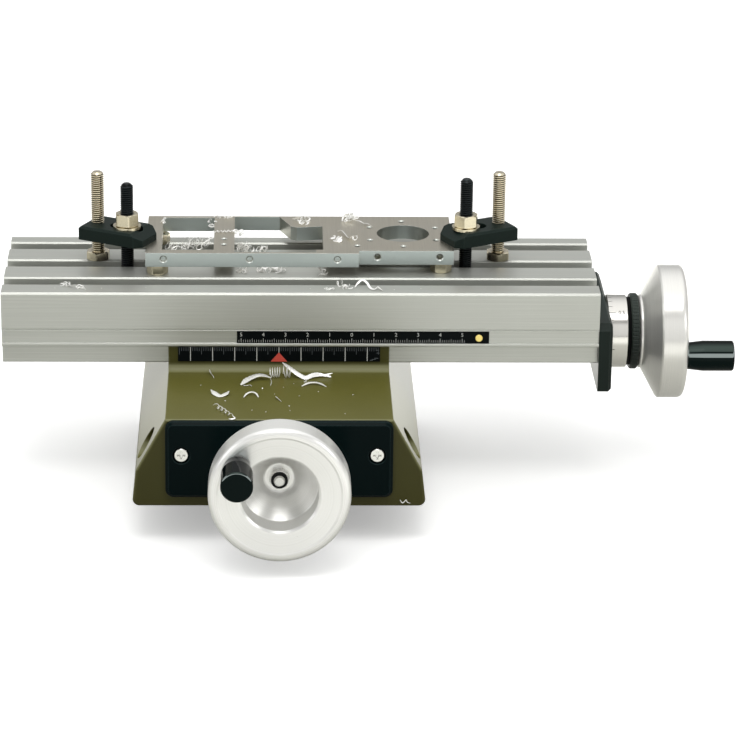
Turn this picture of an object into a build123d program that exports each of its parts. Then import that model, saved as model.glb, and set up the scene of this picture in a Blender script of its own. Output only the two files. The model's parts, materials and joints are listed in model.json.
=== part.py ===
"""Compound milling table: bed, saddle and table on dovetail ways, with a clamping set on top.

The origin is the centre of the bed's underside.  +X runs along the table's long travel, -Y
towards the operator, +Z up.  Millimetres.  "X" pieces move or guide the table along X, "Y"
pieces the saddle along Y.
"""
from build123d import *
import os
from dataclasses import dataclass
from math import cos, sin, tan, radians

os.makedirs("parts", exist_ok=True)

# ---------------------------------------------------------------- shared dimensions
# table
table_len = 270.0
table_half = 40.0             # half width
table_x = 10.0                # table centre at rest, right of the saddle's centre
z_top = 96.0                  # working face
table_h = 34.6
lip_depth = 25.6              # underside of the front lip, below the working face
band_y = 36.2                 # half width of the lower band, set back under the lip
z_lip = z_top - lip_depth
z_table_bottom = z_top - table_h
table_left = table_x - table_len / 2
table_right = table_x + table_len / 2

# T-slots
slot_pitch = 25.0
slot_mouth = 9.0
slot_lip = 5.0
slot_t_w = 14.4
slot_t_h = 5.0
slot_y = 1.5                  # middle slot, a little behind the centre line
slot_bevel = 0.7

# slides
flank = tan(radians(30))      # run of a dovetail flank for each mm of rise
run = 0.06                    # running clearance on a slide
gib_t = 3.38                  # gib thickness, measured level

# bed and Y way
bed_half_x = 55.0
bed_half_y = 50.0
bed_t = 10.0
z_neck = 22.6
z_y_way = 33.0
neck_half = 24.0
y_way_half = 30.0

# saddle
sad_front = -100.0
sad_rear = 50.0
sad_top_half = 50.0
sad_mid_half = 63.0
sad_bottom_half = 65.0
z_sad_bottom = 17.5
z_mid = 34.5                  # where the sloping shoulder meets the skirt
z_roof = 58.5
z_sad_top = 61.3              # bearing face under the table
front_wall = 8.0
tunnel_half = 15.0
z_tunnel = 48.0
wall_front = -39.0            # ruler wall
wall_back = -36.6
z_wall = 70.2
z_ruler = z_top - 32.8        # lower edge of the saddle ruler

# X way
way_top_half = 27.0
way_h = 10.05
way_len = 100.0
way_bottom_half = way_top_half - way_h * flank
z_way_top = z_sad_top + way_h
groove_half = 6.2             # groove for the X leadscrew
groove_depth = 5.3
channel_gap = 0.1             # above the way, under the roof of the table's channel
z_channel = z_table_bottom + way_h + channel_gap

# leadscrews and the plates they pass through
screw_r = 4.0
bore_r = 4.06
bush_r = 7.0
z_x_screw = 64.0              # X leadscrew axis, on Y = 0
z_y_screw = 39.0              # Y leadscrew axis, on X = 0
plate_t = 6.3
panel_t = 3.2

# fixings: small screws have a 4 mm shank, large screws a 5 mm shank
small_r = 2.0
large_r = 2.5
small_counterbore = 3.7
large_counterbore = 4.6
small_cap = dict(shank_r=small_r, head_r=3.5, socket_r=1.7)
large_cap = dict(shank_r=large_r, head_r=4.25, socket_r=2.3)
set_socket_r = 1.2
gib_nut_r = 3.5               # across flats / 2

# screw centres, as (x, y), (x, z) or (y, z) on the face they enter
y_way_spots = [(x, y) for x in (-14, 14) for y in (-38, 38)]
y_nut_y = -25
y_nut_spots = [(-9, y_nut_y), (9, y_nut_y)]
x_nut_spots = [(-6, 0), (6, 0)]
x_way_screw_x = (-38, 0, 38)
x_way_screw_y = 14
x_way_spots = [(x, y) for x in x_way_screw_x for y in (-x_way_screw_y, x_way_screw_y)]
panel_spots = [(x, z_top - 53.2) for x in (-43, 43)]
end_plate_spots = [(y, z_top - 20) for y in (-31, 31)]
y_gib_spots = [(y, 28) for y in (-65, -20, 25)]
x_gib_spots = [(x, z_top - 29.8) for x in (-80, -20, 40, 100)]

# levels of the faces the cap heads bear on
y_way_seat = 5.5
y_nut_seat = z_y_way + 9
x_way_seat = z_way_top - 4.4
x_nut_seat = z_tunnel + 3.2
x_plate = table_right + plate_t                 # outer face of the end plate
y_panel = sad_front - panel_t                   # outer face of the front panel
end_plate_seat = x_plate - 3.8


# ---------------------------------------------------------------- helpers
def at_x(x):
    """Upright plane across X, local (Y, Z); extrudes towards +X."""
    return Plane.YZ.offset(x)


def at_y(y):
    """Upright plane across Y, local (X, Z); extrudes towards -Y."""
    return Plane.XZ.offset(-y)


def at_z(z):
    """Level plane, local (X, Y); extrudes upwards."""
    return Plane.XY.offset(z)


def save(builder, name):
    builder.part.label = name
    export_step(builder.part, f"parts/{name}.step")


def prism(name, plane, points, length):
    """A closed outline pulled out straight."""
    with BuildPart() as body:
        with BuildSketch(plane):
            with BuildLine():
                Polyline(*points, close=True)
            make_face()
        extrude(amount=length)
    save(body, name)


def cap_screws(name, base, spots, tip, seat, head_end, socket_depth, shank_r, head_r, socket_r):
    """Socket head screws; tip, seat and head_end are distances along base's normal."""
    with BuildPart() as body:
        with BuildSketch(base.offset(seat)):
            with Locations(*spots):
                Circle(head_r)
        extrude(amount=head_end - seat)
        with BuildSketch(base.offset(seat)):
            with Locations(*spots):
                Circle(shank_r)
        extrude(amount=tip - seat)
        with BuildSketch(base.offset(head_end)):
            with Locations(*spots):
                RegularPolygon(socket_r, 6)
        inward = 1 if seat > head_end else -1
        extrude(amount=inward * socket_depth, mode=Mode.SUBTRACT)
    save(body, name)


def set_screws(name, base, spots, tip, outer_end, socket_depth):
    """Headless gib screws; tip and outer_end are distances along base's normal."""
    with BuildPart() as body:
        with BuildSketch(base.offset(tip)):
            with Locations(*spots):
                Circle(small_r)
        extrude(amount=outer_end - tip)
        with BuildSketch(base.offset(outer_end)):
            with Locations(*spots):
                RegularPolygon(set_socket_r, 6)
        inward = 1 if tip > outer_end else -1
        extrude(amount=inward * socket_depth, mode=Mode.SUBTRACT)
    save(body, name)


def hex_nuts(name, plane, places, flat_r, hole_r, height):
    with BuildPart() as body:
        with BuildSketch(plane):
            with Locations(*places):
                RegularPolygon(flat_r, 6, major_radius=False)
                Circle(hole_r, mode=Mode.SUBTRACT)
        extrude(amount=height)
    save(body, name)


def gib(name, plane, foot, z_foot, low, high, length):
    """Strip along a dovetail flank, between two heights above the flank's foot."""
    prism(name, plane, [
        (foot + low * flank, z_foot + low),
        (foot + gib_t + low * flank, z_foot + low),
        (foot + gib_t + high * flank, z_foot + high),
        (foot + high * flank, z_foot + high),
    ], length)


# ---------------------------------------------------------------- bed (fixed)
bolt_x = 46.0
bolt_y = 40.0
bolt_core = 2.5

with BuildPart() as base_plate:
    with BuildSketch(Plane.XY):
        RectangleRounded(2 * bed_half_x, 2 * bed_half_y, 6)
    extrude(amount=bed_t)
    chamfer(base_plate.faces().sort_by(Axis.Z)[-1].edges(), 1.0)
    # tapped holes that take the bench bolts from below
    with Locations(*[(sx * bolt_x, sy * bolt_y, bed_t) for sx in (-1, 1) for sy in (-1, 1)]):
        Hole(bolt_core)
    # counterbored holes for the screws that hold the Y way
    for radius, depth in ((large_r, bed_t), (large_counterbore, y_way_seat)):
        with BuildSketch(Plane.XY):
            with Locations(*y_way_spots):
                Circle(radius)
        extrude(amount=depth, mode=Mode.SUBTRACT)
save(base_plate, "base_plate")

with BuildPart() as y_way:
    with BuildSketch(at_y(bed_half_y)):
        with BuildLine():
            Polyline((-neck_half, bed_t), (neck_half, bed_t), (neck_half, z_neck),
                     (y_way_half, z_y_way), (-y_way_half, z_y_way), (-neck_half, z_neck),
                     close=True)
        make_face()
    extrude(amount=2 * bed_half_y)
    with BuildSketch(at_z(bed_t)):
        with Locations(*y_way_spots):
            Circle(large_r)
    extrude(amount=10, mode=Mode.SUBTRACT)
    # tapped holes for the nut block's screws
    with BuildSketch(at_z(z_y_way)):
        with Locations(*y_nut_spots):
            Circle(small_r)
    extrude(amount=-9, mode=Mode.SUBTRACT)
save(y_way, "y_way")

cap_screws("y_way_screws", Plane.XY, y_way_spots, tip=19.0, seat=y_way_seat, head_end=0.4,
           socket_depth=2.6, **large_cap)

y_nut_len = 20
y_nut_h = 13
with BuildPart() as y_nut:
    with BuildSketch(at_z(z_y_way)):
        with Locations((0, y_nut_y)):
            Rectangle(27, y_nut_len)
    extrude(amount=y_nut_h)
    chamfer(y_nut.faces().sort_by(Axis.Z)[-1].edges(), 0.8)
    with BuildSketch(at_y(y_nut_y + y_nut_len / 2)):
        with Locations((0, z_y_screw)):
            Circle(bore_r)
    extrude(amount=y_nut_len, mode=Mode.SUBTRACT)
    for level, radius in ((z_y_way, small_r), (y_nut_seat, small_counterbore)):
        with BuildSketch(at_z(level)):
            with Locations(*y_nut_spots):
                Circle(radius)
        extrude(amount=z_y_way + y_nut_h - level, mode=Mode.SUBTRACT)
save(y_nut, "y_nut")

cap_screws("y_nut_screws", Plane.XY, y_nut_spots, tip=z_y_way - 8, seat=y_nut_seat,
           head_end=y_nut_seat + 3.6, socket_depth=2, **small_cap)

# ---------------------------------------------------------------- saddle
tunnel_len = sad_rear - sad_front - front_wall
roof_cut_front = sad_front - 10
wall_foot_r = 4.1
side_pocket = (16.4, 122)                # (x, y) size
core_pocket = (22, 13)                   # (x, z) size
shoulder_bore = (-86.0, 42.0)            # (y, z)
gib_side = gib_t + 2 * run               # what the gib adds to one side of a dovetail

# round holes: plane, centres, radius, signed depth along the plane's normal
saddle_bores = (
    # bearing bush hole through the front wall
    (at_y(sad_front), [(0, z_y_screw)], bush_r, -front_wall - 1),
    # panel screw holes
    (at_y(sad_front), panel_spots, small_r, -7),
    # tapped holes for the X way screws
    (at_z(z_sad_top), x_way_spots, small_r, -7.5),
    # counterbored holes up into the X nut
    (at_z(z_tunnel), x_nut_spots, small_r, 9),
    (at_z(z_tunnel), x_nut_spots, small_counterbore, x_nut_seat - z_tunnel),
    # gib screw holes, and the access holes in line with them in the right skirt
    (at_x(28), y_gib_spots, small_r, 16),
    (at_x(57), y_gib_spots, 4.2, 10),
    # round pocket bored level into each sloping shoulder, just behind the front wall
    (at_x(-51.0), [shoulder_bore], 7.0, -16),
    (at_x(51.0), [shoulder_bore], 7.0, 16),
)

with BuildPart() as saddle:
    with BuildSketch(at_y(sad_rear)):
        with BuildLine():
            Polyline((-sad_bottom_half, z_sad_bottom), (sad_bottom_half, z_sad_bottom),
                     (sad_mid_half, z_mid), (sad_top_half, z_roof), (sad_top_half, z_sad_top),
                     (-sad_top_half, z_sad_top), (-sad_top_half, z_roof),
                     (-sad_mid_half, z_mid), close=True)
        make_face()
    extrude(amount=sad_rear - sad_front)
    # the roof in front of the ruler wall lies a little lower than the bearing face
    with BuildSketch(at_z(z_roof)):
        with Locations((0, (roof_cut_front + wall_front) / 2)):
            Rectangle(140, wall_front - roof_cut_front)
    extrude(amount=10, mode=Mode.SUBTRACT)
    # ruler wall that stands up in front of the table's lower band
    with BuildSketch(at_z(z_roof)):
        with Locations((0, (wall_front + wall_back) / 2)):
            Rectangle(2 * sad_top_half, wall_back - wall_front)
    extrude(amount=z_wall - z_roof)
    # rounded foot of the wall, sunk 0.5 mm into wall and roof
    with BuildSketch(at_x(-sad_top_half)):
        with BuildLine():
            Polyline((wall_front, z_roof + wall_foot_r), (wall_front + 0.5, z_roof + wall_foot_r),
                     (wall_front + 0.5, z_roof - 0.5), (wall_front - wall_foot_r, z_roof - 0.5),
                     (wall_front - wall_foot_r, z_roof))
            ThreePointArc((wall_front - wall_foot_r, z_roof), (wall_front - 1.2, z_roof + 1.2),
                          (wall_front, z_roof + wall_foot_r))
        make_face()
    extrude(amount=2 * sad_top_half)
    # softened outer edges of the casting
    for level, radius in ((z_sad_bottom, 3.0), (z_mid, 2.2)):
        long_edges = saddle.edges().filter_by(Axis.Y)
        fillet(long_edges.filter_by_position(Axis.Z, level - 0.1, level + 0.1), radius)
    fillet(saddle.faces().sort_by(Axis.Y)[0].outer_wire().edges(), 1.1)
    # female dovetail under the saddle, wider on the right for the gib
    with BuildSketch(at_y(sad_rear)):
        with BuildLine():
            Polyline((-neck_half - run, z_sad_bottom - 5),
                     (neck_half + gib_side, z_sad_bottom - 5),
                     (neck_half + gib_side, z_neck),
                     (y_way_half + gib_side, z_y_way + run),
                     (-y_way_half - run, z_y_way + run),
                     (-neck_half - run, z_neck), close=True)
        make_face()
    extrude(amount=tunnel_len, mode=Mode.SUBTRACT)
    # tunnel over the way for the Y leadscrew and its nut
    with BuildSketch(at_y(sad_rear)):
        with Locations((0, (z_y_way + z_tunnel) / 2)):
            Rectangle(2 * tunnel_half, z_tunnel - z_y_way)
    extrude(amount=tunnel_len, mode=Mode.SUBTRACT)
    # side pockets that lighten the skirts
    with BuildSketch(at_z(z_sad_bottom - 1)):
        with Locations((-50.2, -23), (50.2, -23)):
            Rectangle(*side_pocket)
    extrude(amount=17.5, mode=Mode.SUBTRACT)
    # core pockets in the rear face, either side of the tunnel
    with BuildSketch(at_y(sad_rear)):
        with Locations((-31, 44.5), (31, 44.5)):
            RectangleRounded(*core_pocket, 2.5)
    extrude(amount=132, mode=Mode.SUBTRACT)
    # groove over the top for the X leadscrew and its nut
    with BuildSketch(at_x(-60)):
        with Locations((0, z_sad_top - groove_depth / 2)):
            Rectangle(2 * groove_half, groove_depth)
    extrude(amount=120, mode=Mode.SUBTRACT)
    for plane, spots, radius, depth in saddle_bores:
        with BuildSketch(plane):
            with Locations(*spots):
                Circle(radius)
        extrude(amount=depth, mode=Mode.SUBTRACT)
save(saddle, "saddle")

with BuildPart() as front_panel:
    with BuildSketch(at_y(sad_front)):
        with Locations((0, z_top - 55.5)):
            RectangleRounded(100, 35.6, 3.6)
    extrude(amount=panel_t)
    chamfer(front_panel.faces().sort_by(Axis.Y)[0].outer_wire().edges(), 1.3)
    with BuildSketch(at_y(sad_front)):
        with Locations((0, z_y_screw)):
            Circle(bush_r)
        with Locations(*panel_spots):
            Circle(2.2)
    extrude(amount=panel_t, mode=Mode.SUBTRACT)
    with BuildSketch(at_y(y_panel)):
        with Locations(*panel_spots):
            Circle(3.9)
    extrude(amount=-1.9, mode=Mode.SUBTRACT)
save(front_panel, "front_panel")

# cross-slotted screws; distances in front of the saddle's front face
panel_screw_tip = -6.0
panel_head_seat = 1.3
panel_head_end = 3.0
with BuildPart() as panel_screws:
    with BuildSketch(at_y(sad_front - panel_screw_tip)):
        with Locations(*panel_spots):
            Circle(small_r)
    extrude(amount=7.4)
    with BuildSketch(at_y(sad_front - panel_head_seat)):
        with Locations(*panel_spots):
            Circle(3.35)
    extrude(amount=panel_head_end - panel_head_seat)
    chamfer(panel_screws.faces().filter_by(Axis.Y).sort_by(Axis.Y)[0:2].edges(), 0.5)
    with BuildSketch(at_y(sad_front - panel_head_end)):
        with Locations(*panel_spots):
            Rectangle(3.6, 0.8)
            Rectangle(0.8, 3.6)
            Circle(0.9)
    extrude(amount=-1.3, mode=Mode.SUBTRACT)
save(panel_screws, "panel_screws")

ruler_t = 0.5
with BuildPart() as saddle_ruler:
    with BuildSketch(at_y(wall_front)):
        with Locations((0.1, (z_wall + z_ruler) / 2)):
            Rectangle(91.4, z_wall - z_ruler)
    extrude(amount=ruler_t)
save(saddle_ruler, "saddle_ruler")

prism("pointer", at_y(wall_front - ruler_t),
      [(-3.7, z_ruler), (3.7, z_ruler), (0, z_top - 28.4)], 0.25)

# the X way is in two halves, either side of the leadscrew groove
for name, side in (("x_way_front", -1), ("x_way_rear", 1)):
    bottom = sorted((side * way_bottom_half, side * groove_half))
    top = sorted((side * way_top_half, side * groove_half))
    with BuildPart() as x_way:
        with BuildSketch(at_x(-way_len / 2)):
            with BuildLine():
                Polyline((bottom[0], z_sad_top), (bottom[1], z_sad_top),
                         (top[1], z_way_top), (top[0], z_way_top), close=True)
            make_face()
        extrude(amount=way_len)
        # counterbored screw holes
        for level, radius, depth in ((z_sad_top, small_r, way_h),
                                     (z_way_top, small_counterbore, x_way_seat - z_way_top)):
            with BuildSketch(at_z(level)):
                with Locations(*[(x, side * x_way_screw_y) for x in x_way_screw_x]):
                    Circle(radius)
            extrude(amount=depth, mode=Mode.SUBTRACT)
    save(x_way, name)

cap_screws("x_way_screws", Plane.XY, x_way_spots, tip=z_sad_top - 7, seat=x_way_seat,
           head_end=x_way_seat + 3.9, socket_depth=2, **small_cap)

x_nut_len = 20
with BuildPart() as x_nut:
    with BuildSketch(at_z(z_sad_top - groove_depth)):
        Rectangle(x_nut_len, 2 * groove_half - 0.2)
    extrude(amount=14.4)
    chamfer(x_nut.faces().sort_by(Axis.Z)[-1].edges(), 0.6)
    with BuildSketch(at_x(-x_nut_len / 2)):
        with Locations((0, z_x_screw)):
            Circle(bore_r)
    extrude(amount=x_nut_len, mode=Mode.SUBTRACT)
    with BuildSketch(at_z(z_sad_top - groove_depth)):
        with Locations(*x_nut_spots):
            Circle(small_r)
    extrude(amount=3.2, mode=Mode.SUBTRACT)
save(x_nut, "x_nut")

cap_screws("x_nut_screws", Plane.XY, x_nut_spots, tip=x_nut_seat + 7.6, seat=x_nut_seat,
           head_end=x_nut_seat - 3.0, socket_depth=1.8, **small_cap)

gib("y_gib", at_y(46), foot=neck_half + run, z_foot=z_neck, low=0.6, high=9.8, length=134)
set_screws("y_gib_screws", Plane.YZ, y_gib_spots, tip=32.2, outer_end=47.2, socket_depth=2.5)
hex_nuts("y_gib_nuts", at_x(42.0), y_gib_spots, gib_nut_r, small_r, 2.4)

# ---------------------------------------------------------------- table
# cross-section (y, z), anticlockwise from the front edge of the working face
table_profile = [
    (-table_half + 0.9, z_top), (-table_half, z_top - 0.9),
    # small notch, then the shallow recess for the ruler
    (-table_half, z_top - 17.2), (-table_half + 0.4, z_top - 17.4),
    (-table_half + 0.4, z_top - 17.7), (-table_half, z_top - 17.9),
    (-table_half, z_top - 18.0), (-table_half + 0.9, z_top - 18.1),
    (-table_half + 0.9, z_top - 24.0), (-table_half + 0.15, z_top - 24.1),
    (-table_half, z_top - 24.4),
    # lip and lower band
    (-table_half, z_top - 25.2), (-table_half + 0.4, z_lip), (-band_y, z_lip),
    (-band_y, z_table_bottom + 0.5), (-band_y + 0.5, z_table_bottom),
    # dovetail channel, wider at the rear for the gib
    (-way_bottom_half - run, z_table_bottom),
    (-way_top_half - run - channel_gap * flank, z_channel),
    (way_top_half + gib_side + channel_gap * flank, z_channel),
    (way_bottom_half + gib_side, z_table_bottom),
    # rear side
    (band_y - 0.5, z_table_bottom), (band_y, z_table_bottom + 0.5), (band_y, z_lip),
    (table_half - 0.4, z_lip), (table_half, z_lip + 0.4),
    (table_half, z_top - 0.9), (table_half - 0.9, z_top),
]
# T-slot cross-section (across, height above the working face)
slot_profile = [
    (-slot_mouth / 2 - slot_bevel, 0), (-slot_mouth / 2, -slot_bevel),
    (-slot_mouth / 2, -slot_lip), (-slot_t_w / 2, -slot_lip),
    (-slot_t_w / 2, -slot_lip - slot_t_h), (slot_t_w / 2, -slot_lip - slot_t_h),
    (slot_t_w / 2, -slot_lip), (slot_mouth / 2, -slot_lip),
    (slot_mouth / 2, -slot_bevel), (slot_mouth / 2 + slot_bevel, 0),
]

with BuildPart() as table:
    with BuildSketch(at_x(table_left)):
        with BuildLine():
            Polyline(*table_profile, close=True)
        make_face()
    extrude(amount=table_len)
    # three T-slots along the table
    with BuildSketch(at_x(table_left)):
        with Locations(*[(slot_y + step * slot_pitch, z_top) for step in (-1, 0, 1)]):
            Polygon(*slot_profile, align=None)
    extrude(amount=table_len, mode=Mode.SUBTRACT)
    # tapped holes in the right end for the end plate
    with BuildSketch(at_x(table_right)):
        with Locations(*end_plate_spots):
            Circle(large_r)
    extrude(amount=-14, mode=Mode.SUBTRACT)
    # tapped holes through the rear flange for the gib screws
    with BuildSketch(at_y(band_y)):
        with Locations(*x_gib_spots):
            Circle(small_r)
    extrude(amount=12, mode=Mode.SUBTRACT)
save(table, "table")

gib("x_gib", at_x(table_left + 4), foot=way_bottom_half + run, z_foot=z_sad_top,
    low=0.7, high=9.5, length=table_len - 12)
# the normal points to -Y, so these distances are minus the Y values
set_screws("x_gib_screws", Plane.XZ, x_gib_spots, tip=-29.6, outer_end=-39.4,
           socket_depth=2.2)
hex_nuts("x_gib_nuts", at_y(band_y), x_gib_spots, gib_nut_r, small_r, -2.2)

rivet_at = (90.5, z_top - 21.4)          # (x, z)
rivet_r = 1.0
y_recess = -(table_half - 0.9)           # floor of the ruler's recess
with BuildPart() as table_ruler:
    with BuildSketch(at_y(y_recess)):
        with Locations((38.05, z_top - 21.05)):
            Rectangle(114.1, 5.7)
    extrude(amount=ruler_t)
    with BuildSketch(at_y(y_recess)):
        with Locations(rivet_at):
            Circle(rivet_r)
    extrude(amount=ruler_t, mode=Mode.SUBTRACT)
save(table_ruler, "table_ruler")

with BuildPart() as ruler_rivet:
    with BuildSketch(at_y(y_recess)):
        with Locations(rivet_at):
            Circle(rivet_r)
    extrude(amount=ruler_t)
    with BuildSketch(at_y(y_recess - ruler_t)):
        with Locations(rivet_at):
            Circle(1.7)
    extrude(amount=0.35)
    chamfer(ruler_rivet.faces().sort_by(Axis.Y)[0].edges(), 0.2)
save(ruler_rivet, "ruler_rivet")

plate_front = -40
plate_rear = 37
plate_corner = 3                         # bevel of the upper corners
z_plate_top = z_top - 14.8
z_plate_bottom = z_top - 47.3
with BuildPart() as end_plate:
    with BuildSketch(at_x(table_right)):
        with BuildLine():
            Polyline((plate_front, z_plate_bottom + 0.8), (plate_front + 0.8, z_plate_bottom),
                     (plate_rear - 0.8, z_plate_bottom), (plate_rear, z_plate_bottom + 0.8),
                     (plate_rear, z_plate_top - plate_corner),
                     (plate_rear - plate_corner, z_plate_top),
                     (plate_front + plate_corner, z_plate_top),
                     (plate_front, z_plate_top - plate_corner), close=True)
        make_face()
    extrude(amount=plate_t)
    chamfer(end_plate.faces().sort_by(Axis.X)[-1].edges(), 1.3)
    with BuildSketch(at_x(table_right)):
        with Locations((0, z_x_screw)):
            Circle(bush_r)
        with Locations(*end_plate_spots):
            Circle(large_r)
    extrude(amount=plate_t, mode=Mode.SUBTRACT)
    with BuildSketch(at_x(x_plate)):
        with Locations(*end_plate_spots):
            Circle(large_counterbore)
    extrude(amount=end_plate_seat - x_plate, mode=Mode.SUBTRACT)
save(end_plate, "end_plate")

cap_screws("end_plate_screws", Plane.YZ, end_plate_spots, tip=end_plate_seat - 15,
           seat=end_plate_seat, head_end=end_plate_seat + 3.6, socket_depth=2.4, **large_cap)

# ---------------------------------------------------------------- leadscrew drives
# Profiles are (radius, distance outwards from the face the dial stands on).
flange_r = 9.6                # bush flange
flange_t = 1.2
hub_back = 1.3                # inner end of the handwheel's hub
hub_face = 15.0               # outer end of the hub, where the locking nut sits
spindle_r = 3.5               # leadscrew inside the hub
stub_r = 2.5                  # leadscrew inside the locking nut
dial_bore = 10.1
dial_r = 16.9
dial_back = 0.4
friction_r = 15.8
ring_r = 17.6                 # knurled ring
ring_bevel = 0.6
boss_r = 10.0
wheel_r = 30.9
rim_inner_r = 16.9
rim_crown_r = 28.3            # where the rim's rounded edge meets its face
rim_edge = 2.6                # rim corner, behind the rim face
nut_h = 3.6                   # locking nut's hexagon
handle_at = 22.3              # handle centre from the wheel's axis
pin_thread_r = 2.5
pin_thread_start = 27.5
pin_hole_floor = 26.5
pin_r = 3.0
grip_bore = 3.06
grip_r = 7.0


@dataclass
class Drive:
    """One leadscrew with its dial and handwheel; distances run outwards along its axis."""
    name: str
    origin: Vector            # where the axis leaves the plate
    outward: Vector
    screw_tip: float          # inner end of the leadscrew
    collar_r: float           # leadscrew's thrust collar
    bush_end: float           # inner end of the bush
    dial_end: float
    ring_start: float         # knurled ring
    ring_end: float
    rim_face: float
    web_front: float          # where the wheel's hollow meets the rim
    wheel_back: tuple         # wheel's inner side, from the boss to the rim
    handle_angle: float       # from the sideways direction towards +Z
    pin_end: float
    grip_waist: float         # where the grip reaches full radius
    grip_bore_end: float
    grip_end: float

    def __post_init__(self):
        self.sideways = Vector(0, 0, 1).cross(self.outward)
        angle = radians(self.handle_angle)
        self.handle_spot = (handle_at * cos(angle), handle_at * sin(angle))
        across, up = self.handle_spot
        self.handle_origin = self.origin + self.sideways * across + Vector(0, 0, up)

    def across(self, distance):
        """Plane square to the axis, with local (sideways, up)."""
        return Plane(origin=self.origin + self.outward * distance, x_dir=self.sideways,
                     z_dir=self.outward)

    def profile(self, origin):
        """Plane through the axis, with local (radius, distance outwards)."""
        return Plane(origin=origin, x_dir=(0, 0, 1), z_dir=self.sideways)


def turned(drive, piece, points):
    """A piece turned about the leadscrew's axis."""
    with BuildPart() as body:
        with BuildSketch(drive.profile(drive.origin)):
            with BuildLine():
                Polyline(*points, close=True)
            make_face()
        revolve(axis=Axis(drive.origin, drive.outward))
    save(body, f"{drive.name}_{piece}")


def bush(drive):
    turned(drive, "bush", [
        (bore_r, drive.bush_end), (bush_r, drive.bush_end), (bush_r, 0), (flange_r, 0),
        (flange_r, flange_t), (bore_r, flange_t)])


def leadscrew(drive):
    collar_back = drive.bush_end - 3.1
    collar_face = drive.bush_end - 0.05
    turned(drive, "leadscrew", [
        (0, drive.screw_tip), (3.0, drive.screw_tip), (screw_r, drive.screw_tip + 1),
        (screw_r, collar_back), (drive.collar_r, collar_back),
        (drive.collar_r, collar_face), (screw_r, collar_face),
        (screw_r, hub_back), (spindle_r, hub_back), (spindle_r, hub_face),
        (stub_r, hub_face), (stub_r, 20.2), (2.0, 20.7), (0, 20.7)])


def handwheel(drive):
    rim = drive.rim_face
    with BuildPart() as wheel:
        with BuildSketch(drive.profile(drive.origin)):
            with BuildLine():
                Polyline((rim_crown_r, rim), (27.3, rim), (26.5, rim - 0.4), (17.9, rim - 1.8),
                         (rim_inner_r, rim - rim_edge), (rim_inner_r, drive.web_front),
                         (7.2, 15.4), (6.4, hub_face), (spindle_r, hub_face),
                         (spindle_r, hub_back), (9.6, hub_back), (boss_r, hub_back + 0.4),
                         *drive.wheel_back, (wheel_r, rim - rim_edge))
                ThreePointArc((wheel_r, rim - rim_edge), (30.14, rim - 0.76),
                              (rim_crown_r, rim))
            make_face()
        revolve(axis=Axis(drive.origin, drive.outward))
        # hole for the handle pin
        with BuildSketch(drive.across(rim + 0.1)):
            with Locations(drive.handle_spot):
                Circle(pin_thread_r)
        extrude(amount=pin_hole_floor - rim - 0.1, mode=Mode.SUBTRACT)
    save(wheel, f"{drive.name}_handwheel")


def wheel_nut(drive):
    """Locking nut on the leadscrew's outer end: a hexagon with a round collar."""
    with BuildPart() as nut:
        with BuildSketch(drive.across(hub_face)):
            RegularPolygon(4.0, 6, major_radius=False)
            Circle(stub_r, mode=Mode.SUBTRACT)
        extrude(amount=nut_h)
        with BuildSketch(drive.across(hub_face + nut_h)):
            Circle(3.7)
            Circle(stub_r, mode=Mode.SUBTRACT)
        extrude(amount=1.1)
    save(nut, f"{drive.name}_wheel_nut")


def handle_pin(drive):
    """Threaded end in the rim, plain shank in the grip."""
    with BuildPart() as pin:
        with BuildSketch(drive.across(pin_thread_start)):
            with Locations(drive.handle_spot):
                Circle(pin_thread_r)
        extrude(amount=drive.rim_face - pin_thread_start)
        with BuildSketch(drive.across(drive.rim_face)):
            with Locations(drive.handle_spot):
                Circle(pin_r)
        extrude(amount=drive.pin_end - drive.rim_face)
    save(pin, f"{drive.name}_handle_pin")


def handle(drive):
    """Freely turning grip, closed at the outer end."""
    start = drive.rim_face + 0.1
    end = drive.grip_end
    with BuildPart() as grip:
        with BuildSketch(drive.profile(drive.handle_origin)):
            with BuildLine():
                Polyline((grip_bore, drive.grip_bore_end), (grip_bore, start), (5.9, start),
                         (6.2, start + 0.4), (grip_r, drive.grip_waist), (grip_r, end - 1.0))
                ThreePointArc((grip_r, end - 1.0), (grip_r - 0.29, end - 0.29),
                              (grip_r - 1.0, end))
                Polyline((grip_r - 1.0, end), (0, end), (0, drive.grip_bore_end),
                         (grip_bore, drive.grip_bore_end))
            make_face()
        revolve(axis=Axis(drive.handle_origin, drive.outward))
    save(grip, f"{drive.name}_handle")


def dial(drive):
    end = drive.dial_end
    turned(drive, "dial", [
        (dial_bore, dial_back), (dial_r - 0.3, dial_back), (dial_r, dial_back + 0.3),
        (dial_r, end - 0.3), (dial_r - 0.3, end), (dial_bore, end)])


def friction_ring(drive):
    """Plain ring between the dial and the knurled ring."""
    with BuildPart() as ring:
        with BuildSketch(drive.across(drive.dial_end)):
            Circle(friction_r)
            Circle(dial_bore, mode=Mode.SUBTRACT)
        extrude(amount=drive.ring_start - drive.dial_end)
    save(ring, f"{drive.name}_friction_ring")


def knurled_ring(drive):
    """Ring that turns the dial, with 60 grooves round its edge."""
    start = drive.ring_start
    end = drive.ring_end
    with BuildPart() as ring:
        with BuildSketch(drive.profile(drive.origin)):
            with BuildLine():
                Polyline((dial_bore, start), (ring_r - ring_bevel, start),
                         (ring_r, start + ring_bevel), (ring_r, end - ring_bevel),
                         (ring_r - ring_bevel, end), (dial_bore, end), close=True)
            make_face()
        revolve(axis=Axis(drive.origin, drive.outward))
        with BuildSketch(drive.across(start)):
            with PolarLocations(ring_r + 0.15, 60):
                Circle(0.42)
        extrude(amount=end - start, mode=Mode.SUBTRACT)
    save(ring, f"{drive.name}_knurled_ring")


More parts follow.
